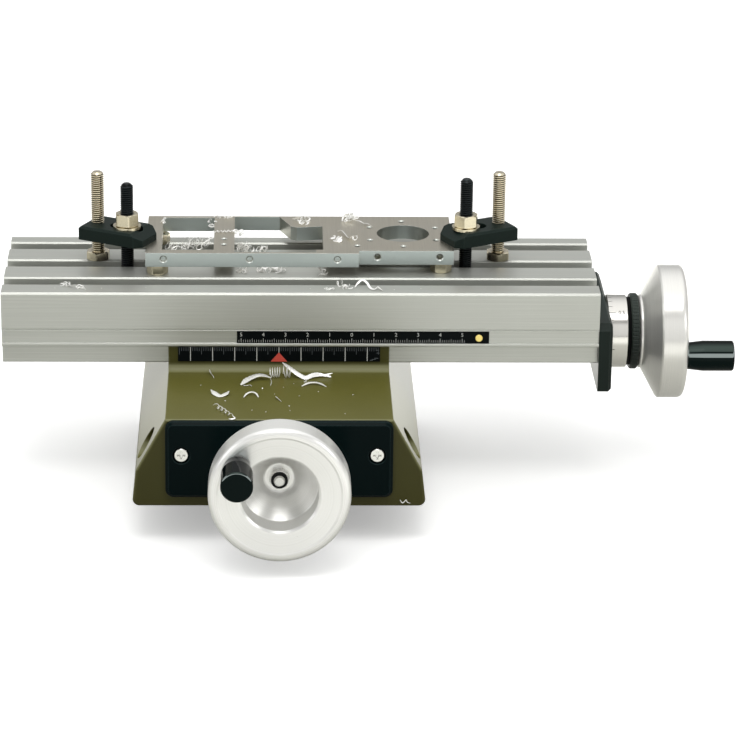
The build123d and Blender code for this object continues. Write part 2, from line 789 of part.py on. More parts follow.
x_drive = Drive(
    name="x", origin=Vector(x_plate, 0, z_x_screw), outward=Vector(1, 0, 0),
    screw_tip=-241, collar_r=6.4, bush_end=-plate_t,
    dial_end=9.6, ring_start=11.2, ring_end=14.9,
    rim_face=36.0, web_front=24.2,
    wheel_back=((boss_r, 15.2), (16.4, 15.2), (17.0, 15.8), (17.0, 16.6), (30.3, 23.8),
                (wheel_r, 24.6)),
    handle_angle=180 + 10.8, pin_end=52.2,
    grip_waist=43.4, grip_bore_end=52.6, grip_end=57.5)
y_drive = Drive(
    name="y", origin=Vector(0, y_panel, z_y_screw), outward=Vector(0, -1, 0),
    screw_tip=-131.2, collar_r=5.8, bush_end=-12.2,
    dial_end=10.9, ring_start=12.4, ring_end=17.0,
    rim_face=37.9, web_front=24.6,
    wheel_back=((boss_r, 17.2), (16.7, 17.2), (17.3, 17.8), (30.3, 24.0), (wheel_r, 24.8)),
    handle_angle=180 - 35, pin_end=53.5,
    grip_waist=45.0, grip_bore_end=53.8, grip_end=58.6)

for drive in (x_drive, y_drive):
    bush(drive)
    leadscrew(drive)
    handwheel(drive)
    wheel_nut(drive)
    handle_pin(drive)
    handle(drive)
    dial(drive)
    friction_ring(drive)
    knurled_ring(drive)

# ---------------------------------------------------------------- clamping set
stud_left = (-69.5, 0.3)
stud_right = (85.8, 0.3)
jack_left = (-83.2, 8.4)
jack_right = (101.3, 9.3)
rod_r = 3.0                   # studs and jack bolts
clamp_hex_r = 5.0             # clamp nuts and jack bolt heads, across flats / 2
spacer_h = 4.6
work_t = 6.6
clamp_t = 6.5
washer_t = 1.2
stud_foot = 9.8               # lower end of the studs, below the working face
jack_head_h = 4.0
z_work = z_top + spacer_h     # underside of the workpiece
z_work_top = z_work + work_t
z_clamp_top = z_work_top + clamp_t
z_washer_top = z_clamp_top + washer_t

# workpiece: outlines and hole centres as (x, y)
work_front = -17              # front edge, left part
work_step = -13.2             # front edge, right part
work_outline = [(-60.8, work_front), (36.4, work_front), (36.4, work_step),
                (79.8, work_step), (79.8, 37), (-60.8, 37)]
left_window = [(-53.8, -12.4), (-29.8, -12.4), (-29.8, 34.4), (-53.8, 34.4)]
# a pad is left standing in the rear right corner of this one
middle_window = [(-20.5, -15.4), (17.0, -15.4), (17.0, -11.5), (20.3, -11.5), (20.3, 22.4),
                 (8.4, 20.6), (5.6, 22.6), (0.6, 36.0), (-20.5, 36.0)]
work_holes = [(57.2, 29.9), (42.1, 21.1), (72.6, 20.4), (42.0, 2.4), (72.4, 2.6),
              (57.0, -6.5), (35.9, -5.8), (-25.2, 3.5), (-25.2, -4.5)]
work_hole_r = 1.25
sink_r = 1.75
sink_depth = 0.5
# tapped holes in the front edge: y of the edge, depth, x of each hole
edge_holes = ((work_front, 1.4, (-52.6, -13.4, 26.6)), (work_step, 6, (45.0, 73.4)))
z_edge_holes = z_work + 3.6

with BuildPart() as workpiece:
    with BuildSketch(at_z(z_work)):
        with BuildLine():
            Polyline(*work_outline, close=True)
        make_face()
        for window in (left_window, middle_window):
            with BuildLine():
                Polyline(*window, close=True)
            make_face(mode=Mode.SUBTRACT)
        with Locations((57.4, 12.2)):
            Circle(12.1, mode=Mode.SUBTRACT)
        with Locations(*work_holes):
            Circle(work_hole_r, mode=Mode.SUBTRACT)
    extrude(amount=work_t)
    for edge_y, depth, columns in edge_holes:
        with BuildSketch(at_y(edge_y)):
            with Locations(*[(x, z_edge_holes) for x in columns]):
                Circle(work_hole_r)
        extrude(amount=-depth, mode=Mode.SUBTRACT)
    # countersinks of the small tapped holes, on the top face and the front edge
    with Locations(*[(x, y, z_work_top - sink_depth) for x, y in work_holes]):
        Cone(work_hole_r, sink_r, sink_depth, align=(Align.CENTER, Align.CENTER, Align.MIN),
             mode=Mode.SUBTRACT)
    with Locations(*[Location((x, edge_y + sink_depth, z_edge_holes), (90, 0, 0))
                     for edge_y, depth, columns in edge_holes for x in columns]):
        Cone(work_hole_r, sink_r, sink_depth, align=(Align.CENTER, Align.CENTER, Align.MIN),
             mode=Mode.SUBTRACT)
save(workpiece, "workpiece")

hex_nuts("spacer_nuts", at_z(z_top), [(-55.4, -11.9), (74.2, -8.0), (-55.4, 31.5), (74.2, 31.5)],
         4.3, 2.1, spacer_h)

# clamp outline (along, across) from the jack hole towards the nose
clamp_outline = [(-4.8, -9.5), (23.6, -9.5), (27.0, -6.6), (27.0, 6.6), (23.6, 9.5), (-4.8, 9.5)]


def clamp(name, jack, angle):
    """Slotted clamp whose nose points at an angle from +X about its jack hole."""
    origin = (jack[0], jack[1], z_work_top)
    along_x = cos(radians(angle))
    along_y = sin(radians(angle))
    underside = Plane(origin=origin, x_dir=(along_x, along_y, 0), z_dir=(0, 0, 1))
    middle = Plane(origin=origin, x_dir=(along_x, along_y, 0), z_dir=(along_y, -along_x, 0))
    with BuildPart() as body:
        with BuildSketch(underside):
            with BuildLine():
                Polyline(*clamp_outline, close=True)
            make_face()
            Circle(rod_r, mode=Mode.SUBTRACT)
            with Locations((15.1, 0)):
                SlotOverall(16.2, 8.6, mode=Mode.SUBTRACT)
        extrude(amount=clamp_t)
        chamfer(body.faces().sort_by(Axis.Z)[-1].outer_wire().edges(), 0.9)
        # the top runs down to a thin nose
        with BuildSketch(middle):
            with BuildLine():
                Polyline((21.6, clamp_t), (28, 2.6), (28, clamp_t + 1), (21.6, clamp_t + 1),
                         close=True)
            make_face()
        extrude(amount=12, both=True, mode=Mode.SUBTRACT)
    save(body, name)


clamp("clamp_left", jack_left, -27)
clamp("clamp_right", jack_right, 180 + 27)

with BuildPart() as jack_bolts:
    with BuildSketch(at_z(z_top)):
        with Locations(Location((*jack_left, 0), (0, 0, 24.4)),
                       Location((*jack_right, 0), (0, 0, 29))):
            RegularPolygon(clamp_hex_r, 6, major_radius=False)
    extrude(amount=jack_head_h)
    chamfer(jack_bolts.faces().sort_by(Axis.Z)[0:2].edges(), 0.3)
    with BuildSketch(at_z(z_top + jack_head_h)):
        with Locations(jack_left, jack_right):
            Circle(rod_r)
    extrude(amount=37.9)
    chamfer(jack_bolts.faces().sort_by(Axis.Z)[-2:].edges(), 0.6)
save(jack_bolts, "jack_bolts")

with BuildPart() as clamp_studs:
    for spot, rise in ((stud_left, 38.9), (stud_right, 41.6)):
        with BuildSketch(at_z(z_top - stud_foot)):
            with Locations(spot):
                Circle(rod_r)
        extrude(amount=stud_foot + rise)
save(clamp_studs, "clamp_studs")

with BuildPart() as t_nuts:
    with BuildSketch(at_z(z_top - 9.9)):
        with Locations(stud_left, stud_right):
            Rectangle(14, 11.4)
            Circle(rod_r, mode=Mode.SUBTRACT)
    extrude(amount=4.8)
save(t_nuts, "t_nuts")

with BuildPart() as clamp_washers:
    with BuildSketch(at_z(z_clamp_top)):
        with Locations(stud_left, stud_right):
            Circle(6.4)
            Circle(3.1, mode=Mode.SUBTRACT)
    extrude(amount=washer_t)
save(clamp_washers, "clamp_washers")

hex_nuts("clamp_nuts", at_z(z_washer_top),
         [Location((*stud_left, 0), (0, 0, 37)), Location((*stud_right, 0), (0, 0, 20))],
         clamp_hex_r, rod_r, 5.8)
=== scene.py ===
# A small milling machine's compound table on a pale floor: olive saddle casting, slotted
# aluminium table with a clamped workpiece and swarf, and a leadscrew and handwheel on each
# axis. X runs to the right, +Y to the rear (the operator stands at -Y) and Z up.
# Sizes are in mm unless noted; Blender's unit is the metre.
import json
import math
import random

import bmesh
import bpy
from mathutils import Matrix, Vector


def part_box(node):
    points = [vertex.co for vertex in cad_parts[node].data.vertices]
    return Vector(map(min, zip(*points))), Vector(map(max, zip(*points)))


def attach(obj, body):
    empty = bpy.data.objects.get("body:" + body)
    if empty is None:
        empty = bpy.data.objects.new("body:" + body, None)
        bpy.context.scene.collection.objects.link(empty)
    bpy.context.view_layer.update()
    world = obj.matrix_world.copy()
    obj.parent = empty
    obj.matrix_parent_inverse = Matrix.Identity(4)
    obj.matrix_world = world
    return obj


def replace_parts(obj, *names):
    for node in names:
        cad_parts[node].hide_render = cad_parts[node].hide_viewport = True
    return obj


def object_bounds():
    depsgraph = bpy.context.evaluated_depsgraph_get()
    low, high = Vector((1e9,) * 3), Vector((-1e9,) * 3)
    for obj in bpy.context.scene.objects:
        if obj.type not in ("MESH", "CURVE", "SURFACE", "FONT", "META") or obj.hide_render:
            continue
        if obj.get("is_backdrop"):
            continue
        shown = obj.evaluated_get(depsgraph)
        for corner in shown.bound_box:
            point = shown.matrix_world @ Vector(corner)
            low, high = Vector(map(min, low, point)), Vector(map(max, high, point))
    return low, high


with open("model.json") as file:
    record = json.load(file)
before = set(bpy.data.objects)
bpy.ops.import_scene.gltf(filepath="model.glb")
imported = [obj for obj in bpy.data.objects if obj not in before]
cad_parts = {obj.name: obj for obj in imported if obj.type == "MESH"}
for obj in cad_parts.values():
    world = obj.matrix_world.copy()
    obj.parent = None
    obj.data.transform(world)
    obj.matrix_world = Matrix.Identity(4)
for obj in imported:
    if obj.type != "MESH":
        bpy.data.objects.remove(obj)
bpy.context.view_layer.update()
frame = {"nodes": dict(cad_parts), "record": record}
NODES = frame["nodes"]
MM = 0.001
rng = random.Random(7)

X_SCREW = (151.3, 0.0, 64.0)     # X leadscrew axis, where it leaves the end plate
Y_SCREW = (0.0, -103.2, 39.0)    # Y leadscrew axis, where it leaves the front panel
X_OUT, Y_OUT = (1, 0, 0), (0, -1, 0)    # outward directions of the two screws
UP = (0, 0, 1)


def box_mm(node):
    """Lowest and highest corner of a CAD piece, in mm."""
    lo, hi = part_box(node)
    return [c / MM for c in lo], [c / MM for c in hi]


# ================================================================ node helpers
class Nodes:
    """Short calls that build one node tree; inputs are sockets or plain values."""

    def __init__(self, tree):
        self.tree = tree
        tree.nodes.clear()

    def put(self, socket, value):
        if isinstance(value, bpy.types.NodeSocket):
            self.tree.links.new(value, socket)
        else:
            socket.default_value = value

    def node(self, kind, inputs=None, **settings):
        node = self.tree.nodes.new(kind)
        for key, value in settings.items():
            setattr(node, key, value)
        for key, value in (inputs or {}).items():
            self.put(node.inputs[key], value)
        return node

    def math(self, op, a, b=0.0, clamp=False):
        return self.node("ShaderNodeMath", {0: a, 1: b}, operation=op, use_clamp=clamp).outputs[0]

    def times(self, a, b, clamp=False):
        return self.math("MULTIPLY", a, b, clamp)

    def span(self, fac, lo, hi):
        return self.node("ShaderNodeMapRange", {"Value": fac, "To Min": lo, "To Max": hi}).outputs[0]

    def ramp(self, fac, stops):
        """stops are (position, grey) or (position, (r, g, b)), in rising order."""
        node = self.node("ShaderNodeValToRGB", {"Fac": fac})
        elements = node.color_ramp.elements
        while len(elements) < len(stops):
            elements.new(0.5)
        for element, (position, c) in zip(elements, stops):
            element.position = position
            element.color = (c, c, c, 1) if isinstance(c, (int, float)) else (*c, 1)
        return node.outputs["Color"]

    def mixc(self, fac, a, b):
        a, b = ((*c, 1) if isinstance(c, tuple) else c for c in (a, b))
        return self.node("ShaderNodeMix", {"Factor": fac, 6: a, 7: b}, data_type="RGBA").outputs[2]

    def split(self, vec):
        return self.node("ShaderNodeSeparateXYZ", {0: vec}).outputs

    def combine(self, x, y, z):
        return self.node("ShaderNodeCombineXYZ", {0: x, 1: y, 2: z}).outputs[0]


class Mat(Nodes):
    """One procedural material built round a Principled shader."""

    def __init__(self, name):
        self.material = bpy.data.materials.new(name)
        self.material.use_nodes = True
        super().__init__(self.material.node_tree)
        self.out = self.node("ShaderNodeOutputMaterial")
        self.bsdf = self.node("ShaderNodeBsdfPrincipled")
        self.put(self.out.inputs["Surface"], self.bsdf.outputs[0])
        self._co = None

    def set(self, **values):
        for key, value in values.items():
            self.put(self.bsdf.inputs[key.replace("_", " ")], value)

    def co(self):
        if self._co is None:
            self._co = self.node("ShaderNodeTexCoord").outputs["Object"]
        return self._co

    def mapped(self, scale, loc=(0, 0, 0)):
        inputs = {"Scale": scale, "Location": loc, "Vector": self.co()}
        return self.node("ShaderNodeMapping", inputs).outputs[0]

    def noise(self, vec, scale, detail, rough):
        inputs = {"Vector": vec, "Scale": scale, "Detail": detail, "Roughness": rough}
        return self.node("ShaderNodeTexNoise", inputs).outputs["Fac"]

    def voronoi(self, vec, scale):
        return self.node("ShaderNodeTexVoronoi", {"Vector": vec, "Scale": scale}).outputs["Distance"]

    def bevel(self, radius_mm):
        return self.node("ShaderNodeBevel", {"Radius": radius_mm * MM}, samples=4).outputs[0]

    def bump(self, height, strength, depth_mm, normal):
        inputs = {"Strength": strength, "Distance": depth_mm * MM, "Height": height, "Normal": normal}
        return self.node("ShaderNodeBump", inputs).outputs[0]

    def edge(self, bevel_normal):
        """0 on flats, up to 1 on edges: how far the rounded normal leans from the true one."""
        true_normal = self.node("ShaderNodeNewGeometry").outputs["True Normal"]
        dot = self.node("ShaderNodeVectorMath", {0: bevel_normal, 1: true_normal},
                        operation="DOT_PRODUCT")
        return self.times(self.math("SUBTRACT", 1.0, dot.outputs["Value"]), 6.0, clamp=True)

    def normal_xyz(self):
        return self.split(self.node("ShaderNodeNewGeometry").outputs["Normal"])

    def facing_front(self):
        """1 where the surface faces -Y, 0 where it faces up, sideways or back."""
        return self.times(self.normal_xyz()[1], -1.0, clamp=True)

    def to_world(self, vec):
        return self.node("ShaderNodeVectorTransform", {0: vec}, vector_type="VECTOR",
                         convert_from="OBJECT", convert_to="WORLD").outputs[0]

    def polar(self, axis, origin):
        """Radius and distance along the axis in mm, then the two cross coordinates in metres."""
        offset = self.node("ShaderNodeVectorMath", {0: self.co(), 1: tuple(c * MM for c in origin)},
                           operation="SUBTRACT").outputs[0]
        xyz = self.split(offset)
        u, v, along = (xyz[i] for i in {"X": (1, 2, 0), "Y": (0, 2, 1)}[axis])
        radius = self.math("SQRT", self.math("ADD", self.times(u, u), self.times(v, v)))
        return self.times(radius, 1000.0), self.times(along, 1000.0), u, v


# ================================================================ finishes
# Shared arguments: rough = mean roughness, bump = relief strength, bevel_mm = softened edge
# radius, edge_light = how strongly the painted edge highlight lightens edges.
def tint(colour, gain, lift=0.0):
    return tuple(min(1, c * gain + lift) for c in colour)


def metal_plain(name, colour, rough, grain, edge_light, spots, bevel_mm, bump, metallic=1.0,
                roots=0.0):
    """Cut or plated metal: fine grain, slight tarnish (spots), softened edges with a painted
    highlight.
    """
    m = Mat(name)
    fine = m.noise(m.co(), grain, 4, 0.6)
    broad = m.noise(m.co(), 55, 3, 0.5)
    soft = m.bevel(bevel_mm)
    c = m.mixc(m.span(broad, 0.0, spots * 2), colour, tint(colour, 0.55))
    c = m.mixc(m.times(fine, spots), c, tint(colour, 1.25))
    # painted highlight along the edges
    c = m.mixc(m.times(m.edge(soft), edge_light), c, tint(colour, 1.5, 0.06))
    if roots:
        # oil and shadow in the thread roots; the mesh stores how near each point is to a crest
        crest = m.node("ShaderNodeAttribute", attribute_name="crest").outputs["Fac"]
        c = m.mixc(m.ramp(crest, [(0.12, 0.0), (0.85, 1.0)]), tint(colour, 1 - roots), c)
    roughness = m.math("ADD", m.span(fine, -0.06, 0.08), m.span(broad, rough - 0.04, rough + 0.05))
    m.set(Base_Color=c, Metallic=metallic, Roughness=roughness, Normal=m.bump(fine, bump, 0.02, soft))
    return m.material


def brushed(name, colour, stretch, rough, streak, aniso, tangent=(1, 0, 0), metallic=1.0,
            bevel_mm=0.3, edge_light=0.45, bump=0.16, warm=None, clouds=0.05, side=None):
    """Metal with marks that run one way; stretch holds the noise scale on each axis."""
    m = Mat(name)
    lines = m.noise(m.mapped(stretch), 1.0, 5, 0.62)
    lines2 = m.noise(m.mapped(tuple(s * 0.21 for s in stretch), loc=(3.1, 7.7, 1.3)), 1.0, 3, 0.5)
    cloud = m.noise(m.co(), 38, 3, 0.55)
    grain = m.noise(m.co(), 2600, 2, 0.5)
    soft = m.bevel(bevel_mm)
    dark = tint(colour, 0.72)
    c = m.mixc(m.ramp(lines, [(0.32, 0.0), (0.68, 1.0)]), dark, tint(colour, 1.22))
    c = m.mixc(1.0 - streak * 3, c, colour)
    c = m.mixc(m.times(lines2, streak), c, dark)
    c = m.mixc(m.times(cloud, clouds * 2), c, warm or dark)
    if side:
        # painted shade and reflection: faces turned to -Y take the side colour, duller than the faced
        # top
        c = m.mixc(m.times(m.facing_front(), 0.9), c, side)
    # painted highlight along the edges
    c = m.mixc(m.times(m.edge(soft), edge_light), c, tint(colour, 1.7, 0.1))
    height = m.math("ADD", m.times(lines, 0.8), m.times(grain, 0.2))
    m.set(Base_Color=c, Metallic=metallic, Anisotropic=aniso, Anisotropic_Rotation=0.25,
          Roughness=m.math("ADD", m.span(lines, rough - 0.07, rough + 0.07),
                           m.span(cloud, -0.03, 0.05)),
          Tangent=m.to_world(tangent), Normal=m.bump(height, bump, 0.03, soft))
    return m.material


def turned(name, colour, axis, origin, rough, aniso, freq, bump, edge_light, ring, metallic=1.0):
    """Lathe-turned metal: rings about the axis, freq to the mm, ring strong."""
    m = Mat(name)
    radius, along, u, v = m.polar(axis, origin)
    rings = m.noise(m.combine(m.times(radius, freq), m.times(along, freq), 0.0), 1.0, 4, 0.6)
    bands = m.noise(m.combine(m.times(radius, 0.5), m.times(along, 0.5), 2.0), 1.0, 2, 0.5)
    cloud = m.noise(m.co(), 60, 3, 0.55)
    scuff = m.noise(m.co(), 420, 4, 0.65)
    soft = m.bevel(0.25)
    dark = tint(colour, 0.78)
    c = m.mixc(m.ramp(rings, [(0.35, 0.0), (0.65, 1.0)]), dark, tint(colour, 1.15))
    c = m.mixc(1.0 - ring * 3, c, colour)
    c = m.mixc(m.times(bands, ring), c, dark)
    c = m.mixc(m.ramp(scuff, [(0.6, 0.0), (0.78, 0.16)]), c, dark)
    # painted highlight along the edges
    c = m.mixc(m.times(m.edge(soft), edge_light), c, tint(colour, 1.3, 0.08))
    back = m.times(v, -1.0)
    tangent = m.combine(0.0, back, u) if axis == "X" else m.combine(back, 0.0, u)
    height = m.math("ADD", m.times(rings, 0.85), m.times(scuff, 0.15))
    m.set(Base_Color=c, Metallic=metallic, Anisotropic=aniso, Anisotropic_Rotation=0.25,
          Roughness=m.math("ADD", m.span(rings, rough - 0.06, rough + 0.06),
                           m.span(cloud, -0.03, 0.05)),
          Tangent=m.to_world(tangent), Normal=m.bump(height, bump, 0.03, soft))
    return m.material


def coated(name, colour, rough, texture, bump, depth_mm, edge_light, edge, bevel_mm, vary, spec,
           rough_vary=0.06, graze=None, front=0.0, room=None):
    """Paint, black oxide or moulded plastic: colour drift (vary), fine texture, a painted highlight on
    edges; front paints shade on faces turned to -Y, room a glowing painted reflection.
    """
    m = Mat(name)
    tex = m.noise(m.co(), texture, 3, 0.6)
    cell = m.voronoi(m.co(), texture * 0.8)
    drift = m.noise(m.co(), 24, 3, 0.5)
    soft = m.bevel(bevel_mm)
    edge = edge or tint(colour, 2.0, 0.03)
    c = m.mixc(m.ramp(drift, [(0.3, 0.0), (0.7, 1.0)]), tint(colour, 1 - vary), tint(colour, 1 + vary))
    c = m.mixc(m.times(tex, 0.22), c, tint(colour, 0.6))
    if front:
        # painted shade: faces turned to -Y darken by the amount front
        c = m.mixc(m.times(m.facing_front(), front), c, tint(colour, 0.3))
        # painted highlight: rounded corners between the front and the upper faces carry a pale line
        normal = m.normal_xyz()
        turn = m.times(m.times(normal[1], -2.2, clamp=True), m.times(normal[2], 2.6, clamp=True))
        c = m.mixc(m.times(m.math("POWER", turn, 2.0), 0.55), c, edge)
    # painted highlight along the edges
    c = m.mixc(m.times(m.edge(soft), edge_light), c, edge)
    roughness = m.math("ADD", m.span(tex, -rough_vary, rough_vary),
                       m.span(drift, rough - 0.03, rough + 0.04))
    m.set(Base_Color=c, Roughness=roughness, Specular_IOR_Level=spec)
    if graze:
        # enamel that turns to a pale sheen at grazing angles
        facing = m.node("ShaderNodeLayerWeight", {"Blend": 0.5}).outputs["Facing"]
        m.set(Coat_Weight=m.ramp(facing, graze), Coat_IOR=2.5, Coat_Roughness=0.3)
    else:
        m.set(Coat_Roughness=0.12)
    if room:
        # painted reflection: an emission glow copies the room's bright bands onto the polish, by the
        # height of the mirrored direction
        mirrored = m.split(m.node("ShaderNodeTexCoord").outputs["Reflection"])
        toward = m.math("SUBTRACT", 1.0, m.times(mirrored[1], 1.2), clamp=True)
        height = m.math("ADD", mirrored[2], m.span(drift, -0.02, 0.02))
        m.set(Emission_Color=m.ramp(height, room), Emission_Strength=toward)
    relief = m.math("ADD", m.times(tex, 0.6), m.times(cell, 0.4))
    m.set(Normal=m.bump(relief, bump, depth_mm, soft))
    return m.material


def ink(name, colour, vary, spec):
    """Filled marks and figures."""
    return coated(name, colour, rough=0.5, texture=2500, bump=0.2, depth_mm=0.01, edge_light=0.0,
                  edge=None, bevel_mm=0.05, vary=vary, spec=spec)


# painted reflection on the polished grip, glowing as emission: (height of the mirrored direction,
# colour)
GRIP_DARK, GRIP_BAND = (0.0006, 0.0036, 0.003), (0.27, 0.31, 0.30)
GRIP_PAINTED_REFLECTION = [(0.0, GRIP_DARK), (0.06, GRIP_DARK), (0.11, GRIP_BAND), (0.55, GRIP_BAND),
             (0.60, GRIP_DARK), (0.71, GRIP_DARK), (0.80, (0.050, 0.068, 0.060)),
             (1.0, (0.055, 0.075, 0.066))]

# finishes by material slot
MATS = {
    # front paints shade on the casting's -Y faces and a pale highlight on its rounded front corners
    "olive_casting": coated(
        "olive_enamel", (0.120, 0.114, 0.024), rough=0.33, texture=2300, bump=0.34, depth_mm=0.05,
        edge_light=0.7, edge=(0.30, 0.30, 0.16), bevel_mm=0.9, vary=0.07, spec=0.2,
        rough_vary=0.05, graze=[(0.70, 0.0), (0.82, 0.72)], front=0.68),
    "table_aluminium": brushed(
        "anodised_extrusion", (0.515, 0.525, 0.49), stretch=(14, 2600, 2600), rough=0.40,
        streak=0.11, aniso=0.6, metallic=0.82, bevel_mm=0.35, edge_light=0.6,
        warm=(0.44, 0.45, 0.40), clouds=0.06),
    # the plate's -Y faces take a painted shade and a bluish painted reflection (side)
    "work_aluminium": brushed(
        "milled_plate", (0.60, 0.575, 0.50), stretch=(2600, 40, 40), rough=0.33, streak=0.12,
        aniso=0.45, tangent=(0, 1, 0), metallic=0.95, bevel_mm=0.2, edge_light=0.6, bump=0.2,
        warm=(0.50, 0.44, 0.32), clouds=0.3, side=(0.43, 0.49, 0.49)),
    "ground_steel": brushed("ground_ways", (0.50, 0.50, 0.49), stretch=(20, 2200, 2200),
                            rough=0.28, streak=0.1, aniso=0.5),
    "gib_brass": brushed("gib_strip", (0.62, 0.47, 0.22), stretch=(30, 1800, 1800), rough=0.3,
                         streak=0.1, aniso=0.4),
    "bed_iron": coated(
        "machined_iron", (0.10, 0.10, 0.10), rough=0.45, texture=1400, bump=0.3, depth_mm=0.05,
        edge_light=0.5, edge=(0.4, 0.4, 0.4), bevel_mm=0.4, vary=0.15, spec=0.6),
    "black_panel": coated(
        "moulded_black", (0.0028, 0.0085, 0.0088), rough=0.2, texture=1200, bump=0.05,
        depth_mm=0.02, edge_light=1.0, edge=(0.030, 0.052, 0.052), bevel_mm=0.8, vary=0.1,
        spec=0.03, rough_vary=0.03),
    "end_plate_black": coated(
        "satin_black_plate", (0.0135, 0.0215, 0.0175), rough=0.40, texture=1600, bump=0.22,
        depth_mm=0.03, edge_light=0.6, edge=(0.10, 0.12, 0.11), bevel_mm=0.55, vary=0.12,
        spec=0.12, graze=[(0.84, 0.0), (0.92, 0.9)]),
    "clamp_black": coated(
        "black_oxide_clamp", (0.0085, 0.0165, 0.0135), rough=0.45, texture=1100, bump=0.4,
        depth_mm=0.05, edge_light=0.6, edge=(0.045, 0.075, 0.065), bevel_mm=0.55, vary=0.15,
        spec=0.13),
    "ruler_black": coated(
        "scale_black", (0.0022, 0.0036, 0.0042), rough=0.42, texture=1500, bump=0.12,
        depth_mm=0.02, edge_light=0.2, edge=(0.03, 0.03, 0.03), bevel_mm=0.15, vary=0.2,
        spec=0.06),
    "pointer_red": coated(
        "pointer_red", (0.70, 0.085, 0.06), rough=0.45, texture=1500, bump=0.15, depth_mm=0.02,
        edge_light=0.3, edge=(0.85, 0.25, 0.2), bevel_mm=0.1, vary=0.08, spec=0.4),
    "grip_black": coated(
        "polished_black_grip", (0.0016, 0.003, 0.0032), rough=0.07, texture=500, bump=0.02,
        depth_mm=0.02, edge_light=0.1, edge=(0.02, 0.02, 0.02), bevel_mm=0.4, vary=0.2,
        spec=0.05, rough_vary=0.02, room=GRIP_PAINTED_REFLECTION),
    "ring_black": coated(
        "knurl_black", (0.030, 0.040, 0.034), rough=0.42, texture=1800, bump=0.3, depth_mm=0.04,
        edge_light=0.9, edge=(0.11, 0.12, 0.11), bevel_mm=0.18, vary=0.2, spec=0.15),
    "friction_rubber": coated(
        "friction_rubber", (0.0032, 0.0036, 0.0036), rough=0.62, texture=1200, bump=0.4,
        depth_mm=0.05, edge_light=0.2, edge=(0.02, 0.02, 0.02), bevel_mm=0.2, vary=0.2,
        spec=0.08),
    "black_screw": metal_plain(
        "black_oxide_screw", (0.012, 0.016, 0.0175), rough=0.36, grain=900, edge_light=0.25,
        spots=0.2, bevel_mm=0.05, bump=0.1, metallic=0.7),
    "turned_nut": metal_plain(
        "turned_nut_metal", (0.62, 0.62, 0.60), rough=0.26, grain=900, edge_light=0.3, spots=0.1,
        bevel_mm=0.1, bump=0.12),
    "insert_ring": coated(
        "nut_insert_ring", (0.006, 0.007, 0.007), rough=0.4, texture=1500, bump=0.2,
        depth_mm=0.02, edge_light=0.2, edge=(0.03, 0.03, 0.03), bevel_mm=0.1, vary=0.2,
        spec=0.15),
    "bright_screw": metal_plain(
        "bright_zinc", (0.70, 0.70, 0.67), rough=0.17, grain=700, edge_light=0.2, spots=0.06,
        bevel_mm=0.15, bump=0.1),
    "nickel": metal_plain(
        "warm_nickel", (0.66, 0.60, 0.45), rough=0.22, grain=800, edge_light=0.3, spots=0.08,
        bevel_mm=0.08, bump=0.12),
    "nickel_thread": metal_plain(
        "warm_nickel_thread", (0.72, 0.65, 0.50), rough=0.22, grain=800, edge_light=0.3,
        spots=0.08, bevel_mm=0.06, bump=0.12, roots=0.9),
    "black_thread": metal_plain(
        "black_oxide_thread", (0.022, 0.028, 0.030), rough=0.3, grain=900, edge_light=0.25,
        spots=0.2, bevel_mm=0.05, bump=0.1, metallic=0.8, roots=0.85),
    "rivet_brass": metal_plain(
        "rivet_brass", (0.80, 0.64, 0.22), rough=0.3, grain=800, edge_light=0.2, spots=0.08,
        bevel_mm=0.15, bump=0.1),
    "bronze": metal_plain(
        "bearing_bronze", (0.50, 0.33, 0.15), rough=0.32, grain=700, edge_light=0.25, spots=0.12,
        bevel_mm=0.2, bump=0.15),
    "screw_steel": metal_plain(
        "leadscrew_steel", (0.58, 0.58, 0.56), rough=0.24, grain=800, edge_light=0.35, spots=0.1,
        bevel_mm=0.15, bump=0.12),
}
# finishes by piece, for turned parts whose rings follow their own axis
WHEEL = dict(rough=0.30, aniso=0.5, freq=4.5, edge_light=0.4, ring=0.14)
DIAL = dict(rough=0.2, aniso=0.35, freq=9.0, bump=0.1, edge_light=0.3, ring=0.06)
# the two handwheels are one metal and so are the two dials; the Y pair is painted lighter and the X
# pair darker, as painted light and shade
TURNED = {
    "x_handwheel": turned("turned_wheel_x", (0.83, 0.82, 0.785), "X", X_SCREW, bump=0.22,
                          metallic=0.68, **WHEEL),
    "y_handwheel": turned("turned_wheel_y", (0.92, 0.915, 0.885), "Y", Y_SCREW, bump=0.24,
                          metallic=0.64, **WHEEL),
    "x_dial": turned("turned_dial_x", (0.70, 0.685, 0.65), "X", X_SCREW, **DIAL),
    "y_dial": turned("turned_dial_y", (0.74, 0.725, 0.69), "Y", Y_SCREW, **DIAL),
}
mark_white = ink("mark_white", (0.72, 0.73, 0.70), vary=0.08, spec=0.3)
mark_black = ink("mark_black", (0.012, 0.012, 0.012), vary=0.15, spec=0.3)
swarf_mat = metal_plain("fresh_swarf", (0.97, 0.965, 0.93), rough=0.34, grain=1500, edge_light=0.1,
                        spots=0.05, bevel_mm=0.03, bump=0.2, metallic=0.55)
mark_grey = ink("mark_grey", (0.17, 0.19, 0.20), vary=0.15, spec=0.1)

slot_of = {s["node"]: s["material_slot"] for s in frame["record"]["subparts"]}
for name, o in NODES.items():
    mat = TURNED.get(name) or MATS[slot_of[name]]
    if not o.material_slots:
        o.data.materials.append(mat)
    for s in o.material_slots:
        s.link = "OBJECT"
        s.material = mat


